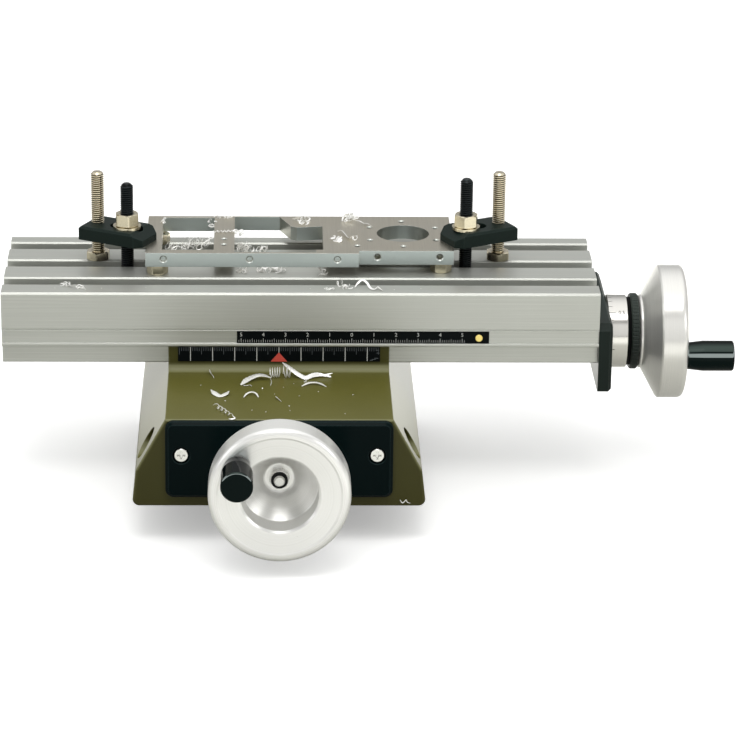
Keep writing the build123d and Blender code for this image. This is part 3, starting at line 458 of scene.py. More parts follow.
# ================================================================ mesh helpers
def new_piece(name, bm, body, mat, smooth_deg):
    bmesh.ops.recalc_face_normals(bm, faces=bm.faces[:])
    me = bpy.data.meshes.new(name)
    bm.to_mesh(me)
    bm.free()
    o = bpy.data.objects.new(name, me)
    bpy.context.scene.collection.objects.link(o)
    me.materials.append(mat)
    for p in me.polygons:
        p.use_smooth = True
    me.set_sharp_from_angle(angle=math.radians(smooth_deg))
    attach(o, body)
    return o


def append_part(bm, part):
    """Copies one bmesh into another and frees it."""
    me = bpy.data.meshes.new("tmp")
    part.to_mesh(me)
    part.free()
    bm.from_mesh(me)
    bpy.data.meshes.remove(me)


def frame_matrix(origin, zdir, xdir):
    """Local frame at origin (mm) with Z along zdir and X towards xdir."""
    z = Vector(zdir).normalized()
    x = (Vector(xdir) - z * Vector(xdir).dot(z)).normalized()
    y = z.cross(x)
    return Matrix(((x.x, y.x, z.x, origin[0] * MM), (x.y, y.y, z.y, origin[1] * MM),
                   (x.z, y.z, z.z, origin[2] * MM), (0, 0, 0, 1)))


def polar_point(radius, angle, z):
    return Vector((radius * math.cos(angle) * MM, radius * math.sin(angle) * MM, z * MM))


def lathe(bm, profile, matrix, n=48, closed=True, flip=False):
    """Revolves a profile about local Z. A station is (radius, z), or a function of the angle
    that gives such a pair; radius 0 makes a single point."""
    rings = []
    for station in profile:
        if not callable(station) and station[0] == 0:
            rings.append([bm.verts.new(matrix @ Vector((0, 0, station[1] * MM)))])
            continue
        ring = []
        for i in range(n):
            angle = 2 * math.pi * i / n
            radius, z = station(angle) if callable(station) else station
            ring.append(bm.verts.new(matrix @ polar_point(radius, angle, z)))
        rings.append(ring)
    pairs = list(zip(rings, rings[1:]))
    if closed:
        pairs.append((rings[-1], rings[0]))
    for a, b in pairs:
        for i in range(n):
            j = (i + 1) % n
            if len(a) == 1:
                face = (a[0], b[j], b[i])
            elif len(b) == 1:
                face = (a[i], a[j], b[0])
            else:
                face = (a[i], a[j], b[j], b[i])
            bm.faces.new(face[:1] + face[:0:-1] if flip else face)


def thread(bm, matrix, z0, z1, crest, root, pitch, n, tip, foot, flat=0.12):
    """A one-start V thread on local Z with capped ends. crest and root are radii; tip and foot
    the chamfers at z1 and z0; flat half the crest's width, in pitches."""
    profile = [(0.0, root), (0.5 - flat, crest), (0.5 + flat, crest)]
    turns = int((z1 - z0) / pitch) + 3
    cols = []
    for i in range(n):
        angle = 2 * math.pi * i / n
        col = []
        for k in range(turns):
            for part, radius in profile:
                z = z0 + (k - 1 + part + i / n) * pitch
                z = min(max(z, z0), z1)
                r = min(radius, crest - tip + (z1 - z), crest - foot + (z - z0))
                col.append(bm.verts.new(matrix @ polar_point(r, angle, z)))
        cols.append(col)
    rows = len(cols[0])
    for i in range(n):
        # the last column meets the first one a full turn higher
        shift = len(profile) if i == n - 1 else 0
        a, b = cols[i], cols[(i + 1) % n]
        for j in range(rows - 1 - shift):
            bm.faces.new((a[j], b[j + shift], b[j + 1 + shift], a[j + 1]))
    bmesh.ops.remove_doubles(bm, verts=bm.verts[:], dist=2e-6)
    rim = [e for e in bm.edges if len(e.link_faces) == 1]
    bmesh.ops.holes_fill(bm, edges=rim, sides=0)


def hex_solid(bm, centre, z0, z1, flats, turn_deg, bore=None, chamfer_low=True, direction=UP):
    """A hexagon nut or bolt head with 30 degree corner chamfers; bore is a radius."""
    turn = math.radians(turn_deg)
    face_r = flats / 2 * 0.955
    tan30 = math.tan(math.radians(30))
    matrix = frame_matrix(centre, direction, (1, 0, 0) if abs(direction[0]) < 0.9 else (0, 1, 0))

    def hex_radius(angle):
        s = (angle - turn) % (math.pi / 3)
        return flats / 2 / math.cos(s - math.pi / 6)

    def upper(angle):
        r = hex_radius(angle)
        return r, z1 - (r - face_r) * tan30

    def lower(angle):
        r = hex_radius(angle)
        return r, z0 + ((r - face_r) * tan30 if chamfer_low else 0)

    inner = bore + 0.35 if bore else 0
    profile = [(inner, z1), (face_r, z1), upper, lower, (face_r, z0), (inner, z0)]
    if bore:
        profile += [(bore, z0 + 0.35), (bore, z1 - 0.35)]
    lathe(bm, profile, matrix, n=72, closed=bool(bore), flip=True)


def slab(bm, lo, hi, to_world=None):
    """One thin filled line; many of them make up a scale."""
    vs = []
    for z in (lo[2], hi[2]):
        for x, y in ((lo[0], lo[1]), (hi[0], lo[1]), (hi[0], hi[1]), (lo[0], hi[1])):
            p = Vector((x, y, z))
            vs.append(bm.verts.new(to_world(p) if to_world else p * MM))
    for f in ((0, 3, 2, 1), (4, 5, 6, 7), (0, 1, 5, 4), (1, 2, 6, 5), (2, 3, 7, 6), (3, 0, 4, 7)):
        bm.faces.new([vs[i] for i in f])


def add_text(bm, body, size, place):
    """Adds figures; place maps a local mm point (x along the line, y up, z out) to metres."""
    curve = bpy.data.curves.new("figure_tmp", "FONT")
    curve.body = body
    curve.size = size
    curve.extrude = 0.02
    curve.align_x = "CENTER"
    curve.align_y = "CENTER"
    curve.resolution_u = 4
    ob = bpy.data.objects.new("figure_tmp", curve)
    bpy.context.scene.collection.objects.link(ob)
    bpy.context.view_layer.update()
    depsgraph = bpy.context.evaluated_depsgraph_get()
    me = bpy.data.meshes.new_from_object(ob.evaluated_get(depsgraph))
    bpy.data.objects.remove(ob)
    bpy.data.curves.remove(curve)
    glyphs = bmesh.new()
    glyphs.from_mesh(me)
    bpy.data.meshes.remove(me)
    placed = {v: bm.verts.new(place(v.co)) for v in glyphs.verts}
    for f in glyphs.faces:
        # guards against a glyph mesh that repeats a face
        try:
            bm.faces.new([placed[v] for v in f.verts])
        except ValueError:
            pass
    glyphs.free()


# ================================================================ clamping set
STUD_L, STUD_R = (-69.5, 0.3), (85.8, 0.3)
JACK_L, JACK_R = (-83.2, 8.4), (101.3, 9.3)
CREST_R, ROOT_R = 2.96, 2.42
CLAMP_THREAD = dict(crest=CREST_R, root=ROOT_R, pitch=1.0, n=40)
CLAMP_FLATS = 10.0    # across the flats of jack heads and clamp nuts
HEAD_H = 4.0
LEFT_STUD_DROP = 2.7    # the left stud ends this much lower
CLAMP_SMOOTH = 24


def upright(x, y):
    return frame_matrix((x, y, 0), UP, (1, 0, 0))


def mark_crests(o, axes):
    """Stores 0 at a thread root and 1 at a crest, a head or the tip, for the finish to read."""
    top = max(v.co.z for v in o.data.vertices)
    crest = o.data.attributes.new("crest", "FLOAT", "POINT")
    for v in o.data.vertices:
        d = min(math.hypot(v.co.x / MM - x, v.co.y / MM - y) for x, y in axes)
        f = min(1.0, max(0.0, (d - ROOT_R) / (CREST_R - ROOT_R)))
        crest.data[v.index].value = 1.0 if v.co.z > top - 0.6 * MM else f


# studs
lo, hi = box_mm("clamp_studs")
bm = bmesh.new()
thread(bm, upright(*STUD_L), lo[2], hi[2] - LEFT_STUD_DROP, tip=1.3, foot=0.5, **CLAMP_THREAD)
right_stud = bmesh.new()
thread(right_stud, upright(*STUD_R), lo[2], hi[2], tip=1.3, foot=0.5, **CLAMP_THREAD)
append_part(bm, right_stud)
studs = new_piece("threaded_studs", bm, "table", MATS["black_thread"], CLAMP_SMOOTH)
mark_crests(studs, (STUD_L, STUD_R))
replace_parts(studs, "clamp_studs")

# jack bolts, heads down
lo, hi = box_mm("jack_bolts")
bm = bmesh.new()
for (x, y), turn in ((JACK_L, 24.4), (JACK_R, 29.0)):
    shank = bmesh.new()
    thread(shank, upright(x, y), lo[2] + HEAD_H - 0.1, hi[2], tip=0.9, foot=0.0, **CLAMP_THREAD)
    append_part(bm, shank)
    hex_solid(bm, (x, y, 0), lo[2], lo[2] + HEAD_H, CLAMP_FLATS, turn)
jacks = new_piece("jack_bolts_threaded", bm, "table", MATS["nickel_thread"], CLAMP_SMOOTH)
mark_crests(jacks, (JACK_L, JACK_R))
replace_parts(jacks, "jack_bolts")


def hex_nuts(name, node, places, flats, bore):
    """Nuts as tall as the CAD piece they replace; places are (x, y, turn in degrees)."""
    lo, hi = box_mm(node)
    bm = bmesh.new()
    for x, y, turn in places:
        hex_solid(bm, (x, y, 0), lo[2], hi[2], flats, turn, bore)
    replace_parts(new_piece(name, bm, "table", MATS["nickel"], CLAMP_SMOOTH), node)


hex_nuts("clamp_nuts_chamfered", "clamp_nuts", ((*STUD_L, 37.0), (*STUD_R, 20.0)),
         flats=CLAMP_FLATS, bore=3.0)
hex_nuts("spacer_nuts_chamfered", "spacer_nuts",
         ((-55.4, -11.9, 3), (74.2, -8.0, -4), (-55.4, 31.5, 14), (74.2, 31.5, 22)),
         flats=8.6, bore=2.1)

# ================================================================ leadscrews and their nuts
# distances run outwards along the screw from X_SCREW or Y_SCREW
SHOULDER = 15.0     # where the shaft steps down to the end thread
INSERT_RING = [(2.55, 3.55), (3.45, 3.55), (3.7, 3.8), (3.7, 4.45), (3.45, 4.7), (2.8, 4.7),
               (2.55, 4.5)]    # (radius, distance from the shoulder)


def wheel_nut(name, origin, axis, body, node):
    """Locking nut on a leadscrew's end: a bright hexagon with a dark insert ring standing on it."""
    base = tuple(c + SHOULDER * d for c, d in zip(origin, axis))
    bm = bmesh.new()
    hex_solid(bm, base, 0.0, 3.5, 8.0, 12.0, bore=2.55, chamfer_low=False, direction=axis)
    hex_faces = len(bm.faces)
    lathe(bm, INSERT_RING, frame_matrix(base, axis, UP))
    for i, f in enumerate(bm.faces):
        f.material_index = 0 if i < hex_faces else 1
    piece = new_piece(name, bm, body, MATS["turned_nut"], 24)
    piece.data.materials.append(MATS["insert_ring"])
    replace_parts(piece, node)


def leadscrew(name, origin, axis, body, node, start, end, collar_r, collar_in, collar_out):
    """Long thread from start to end, then a collared shaft and the wheel nut's thread."""
    matrix = frame_matrix(origin, axis, UP)
    bm = bmesh.new()
    thread(bm, matrix, start, end, crest=3.97, root=3.15, pitch=1.5, n=36, tip=0.9, foot=1.0,
           flat=0.16)
    overlap, bevel = 0.2, 0.3
    shaft_r, wheel_r, tip_r = 4.0, 3.5, 2.45
    profile = [
        (0, end - overlap), (shaft_r, end - overlap), (shaft_r, collar_in),
        (collar_r - bevel, collar_in), (collar_r, collar_in + bevel),
        (collar_r, collar_out - bevel), (collar_r - bevel, collar_out), (shaft_r, collar_out),
        (shaft_r, 1.3), (wheel_r, 1.35), (wheel_r, SHOULDER), (tip_r, SHOULDER),
        (tip_r, SHOULDER + 0.4), (0, SHOULDER + 0.4)]
    lathe(bm, profile, matrix, closed=False)
    thread(bm, matrix, SHOULDER + 0.3, 20.7, crest=2.47, root=2.05, pitch=0.8, n=36, tip=0.55,
           foot=0.0)
    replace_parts(new_piece(name, bm, body, MATS["screw_steel"], 30), node)


wheel_nut("x_wheel_nut_insert", X_SCREW, X_OUT, "x_screw", "x_wheel_nut")
wheel_nut("y_wheel_nut_insert", Y_SCREW, Y_OUT, "y_screw", "y_wheel_nut")
leadscrew("x_leadscrew_threaded", X_SCREW, X_OUT, "x_screw", "x_leadscrew",
          start=-241.0, end=-12.0, collar_r=6.4, collar_in=-9.4, collar_out=-6.35)
leadscrew("y_leadscrew_threaded", Y_SCREW, Y_OUT, "y_screw", "y_leadscrew",
          start=-131.2, end=-18.0, collar_r=5.8, collar_in=-15.3, collar_out=-12.25)

# ================================================================ scales
MARK_SMOOTH = 30

# table scale: 1 mm marks rising from the lower edge, a figure every ten
(ruler_x0, ruler_y, ruler_z0), (ruler_x1, _, ruler_z1) = box_mm("table_ruler")
ZERO_X = 32.9
bm = bmesh.new()
for k in range(-51, 52):
    x = ZERO_X + k
    if ruler_x0 + 0.4 < x < ruler_x1 - 6.2:
        height = 2.0 if k % 10 == 0 else (1.9 if k % 5 == 0 else 1.3)
        half = 0.10 if k % 10 == 0 else 0.07
        foot = ruler_z0 + 0.25
        slab(bm, (x - half, ruler_y - 0.02, foot), (x + half, ruler_y + 0.02, foot + height))
for n in range(-5, 6):
    add_text(bm, str(abs(n)), 2.55, lambda p: Vector((
        (ZERO_X + 10 * n + p.x) * MM, (ruler_y - 0.005 - p.z) * MM, (ruler_z1 - 1.75 + p.y) * MM)))
new_piece("table_scale_marks", bm, "table", mark_white, MARK_SMOOTH)

# saddle scale: full-height tens, fainter units hanging from the upper edge
(_, ruler_y, ruler_z0), (_, _, ruler_z1) = box_mm("saddle_ruler")
tens = bmesh.new()
units = bmesh.new()
for k in range(-45, 46):
    if k % 10 == 0:
        marks, foot, half = tens, ruler_z0 + 0.2, 0.16
    elif k % 5 == 0:
        marks, foot, half = units, ruler_z1 - 3.7, 0.075
    else:
        marks, foot, half = units, ruler_z1 - 2.0, 0.085
    slab(marks, (k - half, ruler_y - 0.02, foot), (k + half, ruler_y + 0.02, ruler_z1 - 0.15))
# scuffs across the right-hand end: (x from, x to, height above the lower edge)
for x0, x1, z in ((41.2, 42.6, 0.5), (42.0, 43.8, 0.9), (43.2, 45.0, 1.5), (44.2, 45.6, 4.0),
                  (43.9, 45.2, 5.4)):
    slab(units, (x0, ruler_y - 0.015, ruler_z0 + z), (x1, ruler_y + 0.015, ruler_z0 + z + 0.22))
new_piece("saddle_scale_tens", tens, "saddle", mark_white, MARK_SMOOTH)
new_piece("saddle_scale_units", units, "saddle", mark_grey, MARK_SMOOTH)

# dials: 30 divisions of 0.05 mm, a figure every ten
DIAL_R = 16.9
DIVISIONS = 30


def dial_marks(name, origin, axis, body, lead_deg):
    """Marks and figures wrapped round a dial; the zero stands lead_deg from the top."""
    matrix = frame_matrix(origin, axis, UP)
    bm = bmesh.new()

    def wrap(out, phi):
        """Maps a flat point (x along the axis, y across, z out) to the dial's rim."""
        return lambda p: matrix @ polar_point(
            DIAL_R + p.z, math.radians(phi) - p.y / DIAL_R, out + p.x)

    for k in range(DIVISIONS):
        phi = lead_deg + 360 // DIVISIONS * k
        length = 3.2 if k % 10 == 0 else (2.6 if k % 5 == 0 else 1.7)
        half = 0.13 if k % 5 == 0 else 0.10
        slab(bm, (0.75, -half, -0.03), (0.75 + length, half, 0.025), wrap(0.0, phi))
        if k % 10 == 0:
            add_text(bm, ("0", "0.5", "1.0")[k // 10], 2.5, wrap(6.6, phi))
    new_piece(name, bm, body, mark_black, MARK_SMOOTH)


# X dial: angles grow from +Z towards -Y; the 0.5 faces the operator, above the axis
dial_marks("x_dial_marks", X_SCREW, X_OUT, "x_dial_set", lead_deg=-79.1)
dial_marks("y_dial_marks", Y_SCREW, Y_OUT, "y_dial_set", lead_deg=0.0)


def zero_line(name, origin, axis, across, outer, body):
    """A white line beside a dial, from radius 17.4 to outer along across."""
    matrix = frame_matrix(origin, axis, across)
    bm = bmesh.new()
    slab(bm, (17.4, -0.14, -0.03), (outer, 0.14, 0.02), lambda p: matrix @ (p * MM))
    new_piece(name, bm, body, mark_white, MARK_SMOOTH)


dip = math.radians(-32)    # X zero line: front of the axis and below it
zero_line("x_zero_line", X_SCREW, X_OUT, (0, -math.cos(dip), math.sin(dip)), 19.6, "table")
zero_line("y_zero_line", Y_SCREW, Y_OUT, UP, 18.4, "saddle")


# ================================================================ swarf
def chip(bm, points, width, thick, up_hint, roll, taper):
    """A ribbon of swarf along points, slightly dished across, tapered and jagged at the ends."""
    points = [Vector(p) for p in points]
    n = len(points)
    rings = []
    normal = Vector(up_hint)
    for i, p in enumerate(points):
        tangent = (points[min(i + 1, n - 1)] - points[max(i - 1, 0)]).normalized()
        normal = normal - tangent * normal.dot(tangent)
        normal = normal.normalized() if normal.length > 1e-4 else tangent.orthogonal().normalized()
        side = tangent.cross(normal)
        f = i / (n - 1)
        angle = roll * f
        across = side * math.cos(angle) + normal * math.sin(angle)
        rise = normal * math.cos(angle) - side * math.sin(angle)
        fullness = taper + (1 - taper) * min(1.0, 5 * f, 5 * (1 - f)) + 0.08 * math.sin(i * 2.1)
        w = width * fullness / 2
        section = [(-w, 0.0), (0.0, w * 0.22), (w, 0.0), (w, thick), (0.0, thick + w * 0.22),
                   (-w, thick)]
        rings.append([bm.verts.new((p + across * a + rise * b) * MM) for a, b in section])
    for a, b in zip(rings, rings[1:]):
        for i in range(6):
            j = (i + 1) % 6
            bm.faces.new((a[i], a[j], b[j], b[i]))
    bm.faces.new(rings[0][::-1])
    bm.faces.new(rings[-1])


def spline(keys, steps):
    """Catmull-Rom through key points."""
    k = [Vector(p) for p in keys]
    k = [k[0] * 2 - k[1]] + k + [k[-1] * 2 - k[-2]]
    out = []
    for i in range(1, len(k) - 2):
        for s in range(steps):
            t = s / steps
            a, b, c, d = k[i - 1], k[i], k[i + 1], k[i + 2]
            out.append(0.5 * ((2 * b) + (c - a) * t + (2 * a - 5 * b + 4 * c - d) * t * t
                              + (3 * b - a - 3 * c + d) * t ** 3))
    out.append(k[-2])
    return out


def ribbon(bm, surface, keys, width, thick, up_hint, roll, taper=0.3, steps=8):
    points = spline([(x, y, surface + z) for x, y, z in keys], steps)
    chip(bm, points, width, thick, up_hint, roll, taper)


def coil(bm, surface, start, end, r_start, r_end, turns, squash, steps, width, thick, up_hint, taper):
    """A helix lying on the surface."""
    a, b = Vector((*start, surface)), Vector((*end, surface))
    axis = (b - a).normalized()
    side = axis.cross(Vector(UP)).normalized()
    rise = side.cross(axis)
    points = []
    n = int(turns * steps)
    for i in range(n + 1):
        f = i / n
        r = r_start + (r_end - r_start) * f
        t = 2 * math.pi * turns * f
        p = a.lerp(b, f) + side * r * math.cos(t) + rise * r * squash * math.sin(t)
        p.z += r * squash + 0.08
        p.z = max(p.z, surface + 0.08)
        points.append(p)
    chip(bm, points, width, thick, up_hint, 0.0, taper)


def tangle(bm, surface, centre, spread, count, radii, widths, height, limits=None):
    """Small random curls."""
    for _ in range(count):
        cx = centre[0] + rng.uniform(-spread[0], spread[0])
        cy = centre[1] + rng.uniform(-spread[1], spread[1])
        r = rng.uniform(*radii)
        start = rng.uniform(0, 6.28)
        sweep = rng.uniform(2.4, 6.5)
        tilt = rng.uniform(0.15, 1.2)
        drift = (rng.uniform(-1, 1), rng.uniform(-1, 1))
        points = []
        for i in range(15):
            f = i / 14
            t = start + sweep * f
            x = cx + r * math.cos(t) + drift[0] * f * r
            y = cy + r * math.sin(t) + drift[1] * f * r
            z = surface + 0.12 + r * tilt * (1 + math.sin(t + 0.7)) * 0.5 * height
            if limits:
                x = min(max(x, limits[0]), limits[1])
                y = min(max(y, limits[2]), limits[3])
            points.append((x, y, z))
        chip(bm, points, rng.uniform(*widths), 0.07,
             (rng.uniform(-0.6, 0.6), rng.uniform(-0.6, 0.6), 1), rng.uniform(-1.2, 1.2), 0.25)


def specks(bm, surface, places, sizes):
    for x, y in places:
        s = rng.uniform(*sizes)
        a = rng.uniform(0, 6.28)
        points = [(x + s * (f - 0.5) * math.cos(a), y + s * (f - 0.5) * math.sin(a),
                   surface + 0.06 + 0.5 * s * math.sin(3.0 * f)) for f in (0, 0.25, 0.5, 0.75, 1)]
        chip(bm, points, s * 0.7, 0.08, UP, 0.4, 0.4)


def lay(bm, surface, rows):
    for shape, *values in rows:
        shape(bm, surface, *values)


# Columns after the shape:
#   ribbon: key points (x, y, height above surface), width, thickness, up hint, roll in
#           radians, end taper (0.3 if left out)
#   coil:   start, end, first and last radius, turns, squash, points per turn, width,
#           thickness, up hint, end taper
#   tangle: centre, half spread, count, radii, widths, height factor, limits (x0, x1, y0, y1)
#   specks: places, sizes
ROOF = 58.5
ROOF_SWARF = [
    (ribbon, [(-17.2, -58.6, 0.5), (-14.6, -54.4, 1.2), (-11.0, -50.9, 1.7), (-7.6, -50.0, 1.9),
              (-3.4, -51.6, 1.2)], 2.4, 0.16, (0.1, -0.9, 1), 0.5, 0.2),
    (ribbon, [(-16.4, -57.2, 0.15), (-14.8, -58.8, 0.2), (-13.2, -57.9, 0.25),
              (-12.2, -59.0, 0.1)], 0.8, 0.1, UP, 0.6),
    (coil, (-4.4, -47.4), (0.6, -47.0), 2.1, 2.3, 4.6, 1.0, 18, 0.62, 0.2, (1, 0, 0), 0.4),
    (coil, (1.6, -47.4), (5.0, -47.2), 2.6, 2.3, 2.2, 1.0, 20, 1.0, 0.16, (1, 0, 0), 0.4),
    (ribbon, [(1.6, -42.0, 5.0), (3.4, -43.6, 4.2), (6.6, -46.4, 2.6), (9.8, -48.8, 1.2),
              (12.2, -50.2, 0.8), (15.4, -48.4, 1.4), (18.6, -47.2, 1.2), (23.6, -48.2, 0.5)],
     2.0, 0.13, (0.3, -0.4, 1), -0.9, 0.25),
    (ribbon, [(11.4, -49.6, 0.6), (12.4, -52.4, 0.4), (11.2, -54.2, 0.2)],
     1.0, 0.1, (1, 0, 0.6), 0.5),
    (ribbon, [(19.0, -47.4, 0.9), (21.6, -46.6, 1.1), (24.2, -46.4, 1.6)],
     0.6, 0.1, (0, -1, 0.6), 0.5),
    (ribbon, [(10.2, -59.6, 0.3), (12.8, -57.4, 0.9), (15.8, -56.6, 1.0), (18.6, -57.6, 0.8),
              (21.2, -60.0, 0.2)], 1.1, 0.11, (0, -0.4, 1), 0.25, 0.3),
    (ribbon, [(-3.9, -52.2, 1.2), (-3.4, -55.4, 0.7), (-3.9, -58.6, 0.2)],
     1.0, 0.1, (1, 0, 0.7), 0.7),
    (ribbon, [(-31.4, -40.9, 1.2), (-30.9, -44.4, 0.9), (-29.9, -47.2, 0.6), (-29.3, -49.4, 0.2)],
     1.4, 0.1, (0.8, 0, 1), 0.5),
    (ribbon, [(-30.4, -66.0, 1.0), (-28.6, -69.6, 0.6), (-26.3, -71.8, 0.3), (-24.0, -70.6, 0.6),
              (-22.2, -68.0, 1.2)], 2.3, 0.12, (0, -0.6, 1), 0.3, 0.12),
    (ribbon, [(-15.8, -73.4, 0.2), (-14.4, -70.4, 0.8), (-12.3, -69.0, 1.1), (-10.3, -70.2, 0.9),
              (-9.2, -73.2, 0.2)], 0.9, 0.11, (0, -0.4, 1), 0.2, 0.35),
    (ribbon, [(-1.6, -73.6, 0.8), (-0.4, -75.8, 0.5), (0.9, -78.4, 0.15)],
     1.0, 0.1, (0.5, 0, 1), 0.5),
    (coil, (-28.2, -84.6), (-20.9, -97.2), 0.95, 0.75, 4.6, 0.9, 18, 0.5, 0.14, (0, 1, 0), 0.6),
    (ribbon, [(-20.6, -97.6, 1.0), (-19.5, -99.2, 0.5), (-20.6, -99.7, 0.2), (-22.2, -99.4, 0.2)],
     0.6, 0.09, UP, 0.4),
    (specks, [(-12.0, -88.9), (-5.9, -91.1), (4.3, -83.7), (4.7, -89.3), (28.9, -92.9),
              (-2.0, -69.0), (17.5, -66.0), (-35.0, -58.0), (9.0, -71.5), (-24.0, -77.5),
              (33.0, -70.0), (-7.5, -62.0), (2.0, -60.5), (6.6, -56.0)], (0.3, 0.75)),
]
# the tiny curl hanging on the foot of the casting, with heights from the floor
FOOT_CURL = [(53.4, -100.55, 20.9), (54.3, -100.8, 19.6), (55.2, -100.6, 19.9),
             (56.0, -100.9, 21.0), (56.6, -100.7, 19.8), (57.9, -100.6, 19.3)]
bm = bmesh.new()
lay(bm, ROOF, ROOF_SWARF)
ribbon(bm, 0, FOOT_CURL, width=0.45, thick=0.08, up_hint=(0, -1, 0), roll=0.3, taper=0.4, steps=6)
new_piece("swarf_on_saddle", bm, "saddle", swarf_mat, 40)

# limits of the plate's two windows, and of the table's front land at its right and left
WINDOW_L, WINDOW_R = (-52.8, -30.8, 10.0, 34.0), (-19.8, 2.0, 6.0, 34.0)
LAND_R, LAND_L = (20, 60, -38.2, -28.4), (-99.0, -84.0, -38.0, -28.6)
TABLE_SWARF = [
    # in the windows
    (tangle, (-38.5, 25.5), (5.5, 6.0), 17, (0.9, 2.1), (0.3, 0.6), 2.2, WINDOW_L),
    (tangle, (-42.0, 20.5), (8.5, 2.6), 20, (0.7, 1.9), (0.28, 0.6), 1.8, WINDOW_L),
    (tangle, (-50.0, 23.5), (2.0, 1.6), 6, (0.7, 1.3), (0.3, 0.6), 1.4, WINDOW_L),
    (tangle, (-16.4, 22.5), (2.4, 5.0), 12, (0.8, 1.8), (0.28, 0.6), 2.4, WINDOW_R),
    (tangle, (-11.5, 17.6), (4.6, 2.0), 11, (0.8, 1.8), (0.3, 0.6), 1.8, WINDOW_R),
    (coil, (-8.4, 18.4), (-4.6, 19.6), 1.6, 1.3, 1.6, 0.9, 18, 0.7, 0.1, (0, 1, 0), 0.4),
    # at the plate's front edge
    (tangle, (-16.6, -10.2), (1.8, 2.2), 7, (0.8, 1.6), (0.35, 0.6), 2.0, (-60, 60, -15.6, -5.5)),
    (ribbon, [(-10.8, -8.6, 4.2), (-8.8, -9.2, 3.0), (-6.4, -10.0, 1.4), (-4.4, -9.4, 2.4),
              (-1.6, -9.2, 1.4), (1.4, -8.2, 3.0), (4.2, -7.6, 4.4)], 1.1, 0.1, (0, -0.6, 1), 0.6),
    (tangle, (-3.6, -9.6), (5.6, 1.8), 18, (0.7, 1.6), (0.35, 0.7), 1.9, (-60, 60, -15.6, -5.8)),
    (tangle, (20.2, -12.6), (1.3, 2.4), 6, (0.6, 1.2), (0.35, 0.6), 1.2, (-60, 60, -16.6, -5.8)),
    (ribbon, [(18.0, -9.4, 3.2), (18.8, -11.4, 1.4), (20.2, -13.6, 0.4), (21.8, -15.4, 0.3)],
     0.9, 0.1, (0.6, -0.4, 1), 0.5),
    # front land
    (ribbon, [(34.2, -32.4, 0.25), (35.6, -30.4, 1.6), (37.6, -29.6, 2.8), (39.6, -31.2, 2.2),
              (41.2, -34.0, 0.6), (43.0, -35.4, 0.5), (44.8, -33.6, 1.3)],
     1.05, 0.12, (0.1, -0.5, 1), 0.6, 0.25),
    (ribbon, [(44.4, -33.4, 1.2), (45.8, -35.4, 0.5), (46.8, -36.6, 0.2)], 0.8, 0.1, UP, 0.4),
    (tangle, (31.4, -32.0), (2.2, 1.8), 8, (0.6, 1.2), (0.4, 0.9), 1.2, LAND_R),
    (coil, (26.0, -31.6), (29.2, -30.0), 1.5, 1.7, 1.7, 0.95, 16, 0.5, 0.09, (0, 1, 0), 0.4),
    (tangle, (22.4, -34.8), (1.8, 1.2), 5, (0.5, 1.0), (0.3, 0.6), 0.9, (19, *LAND_R[1:])),
    (tangle, (-96.2, -30.2), (1.8, 1.4), 6, (0.7, 1.5), (0.35, 0.6), 1.4, LAND_L),
    (ribbon, [(-97.6, -29.6, 0.4), (-95.4, -30.4, 1.4), (-93.8, -32.2, 0.5), (-92.0, -33.4, 1.4),
              (-90.0, -33.0, 0.4), (-88.6, -34.6, 1.0), (-87.0, -36.2, 0.3)],
     0.7, 0.1, UP, 1.4, 0.4),
    (tangle, (-90.6, -33.6), (2.2, 1.4), 5, (0.5, 1.1), (0.3, 0.55), 1.1, LAND_L),
    (specks, [(-80.0, -34.0), (-60.0, -33.0), (14.0, -34.0), (52.0, -35.0), (64.0, -33.6),
              (-101.0, -34.0)], (0.25, 0.55)),
]
# at the end of the twisted wires, a little sunk into the workpiece
WIRE_END = [(tangle, (-18.6, 12.5), (1.8, 2.0), 9, (0.6, 1.3), (0.3, 0.7), 1.2)]
WORK_SWARF = [
    (tangle, (-25.2, 34.4), (3.4, 1.6), 9, (0.5, 1.2), (0.3, 0.6), 1.3, (-30, -19, 30, 38.5)),
    (tangle, (-53.4, 29.0), (1.0, 3.0), 6, (0.5, 1.1), (0.3, 0.6), 1.1, (-56.5, -48, 20, 36)),
    (tangle, (-30.6, 24.5), (1.4, 5.0), 7, (0.5, 1.2), (0.25, 0.55), 1.2, (-34, -26, 16, 36)),
    (tangle, (-32.0, 4.0), (1.0, 3.0), 4, (0.5, 1.1), (0.25, 0.5), 1.0, (-36, -26, -2, 12)),
    (tangle, (11.5, 27.5), (3.4, 3.4), 9, (0.7, 1.5), (0.35, 0.8), 1.3, (5, 20, 21, 36)),
    (tangle, (33.8, 33.0), (2.8, 3.2), 20, (0.6, 1.5), (0.35, 0.8), 2.6, (29.5, 40, 27, 38.5)),
    (ribbon, [(35.4, 28.6, 0.8), (37.6, 26.0, 1.4), (39.6, 25.2, 0.6), (41.4, 23.6, 0.9),
              (43.0, 22.4, 0.3)], 0.7, 0.1, (0, -0.4, 1), 0.8),
    (tangle, (26.4, 2.6), (2.2, 3.6), 12, (0.6, 1.4), (0.35, 0.8), 1.2, (22.8, 31, -4.5, 11)),
    (ribbon, [(27.2, 14.2, 0.3), (29.0, 12.6, 1.2), (30.4, 9.0, 0.9), (32.0, 4.4, 0.4),
              (34.0, 4.2, 1.0), (36.4, 7.6, 0.5)], 0.75, 0.1, (0.4, 0, 1), 0.8),
    (coil, (33.4, 1.4), (36.2, 3.4), 1.3, 1.0, 1.5, 0.8, 16, 0.5, 0.09, (0, 1, 0), 0.4),
    (ribbon, [(10.2, 24.4, 3.2), (10.9, 27.6, 2.6), (9.2, 30.0, 1.6), (6.4, 31.0, 0.6)],
     0.8, 0.1, (1, 0, 0.4), 0.4),
]


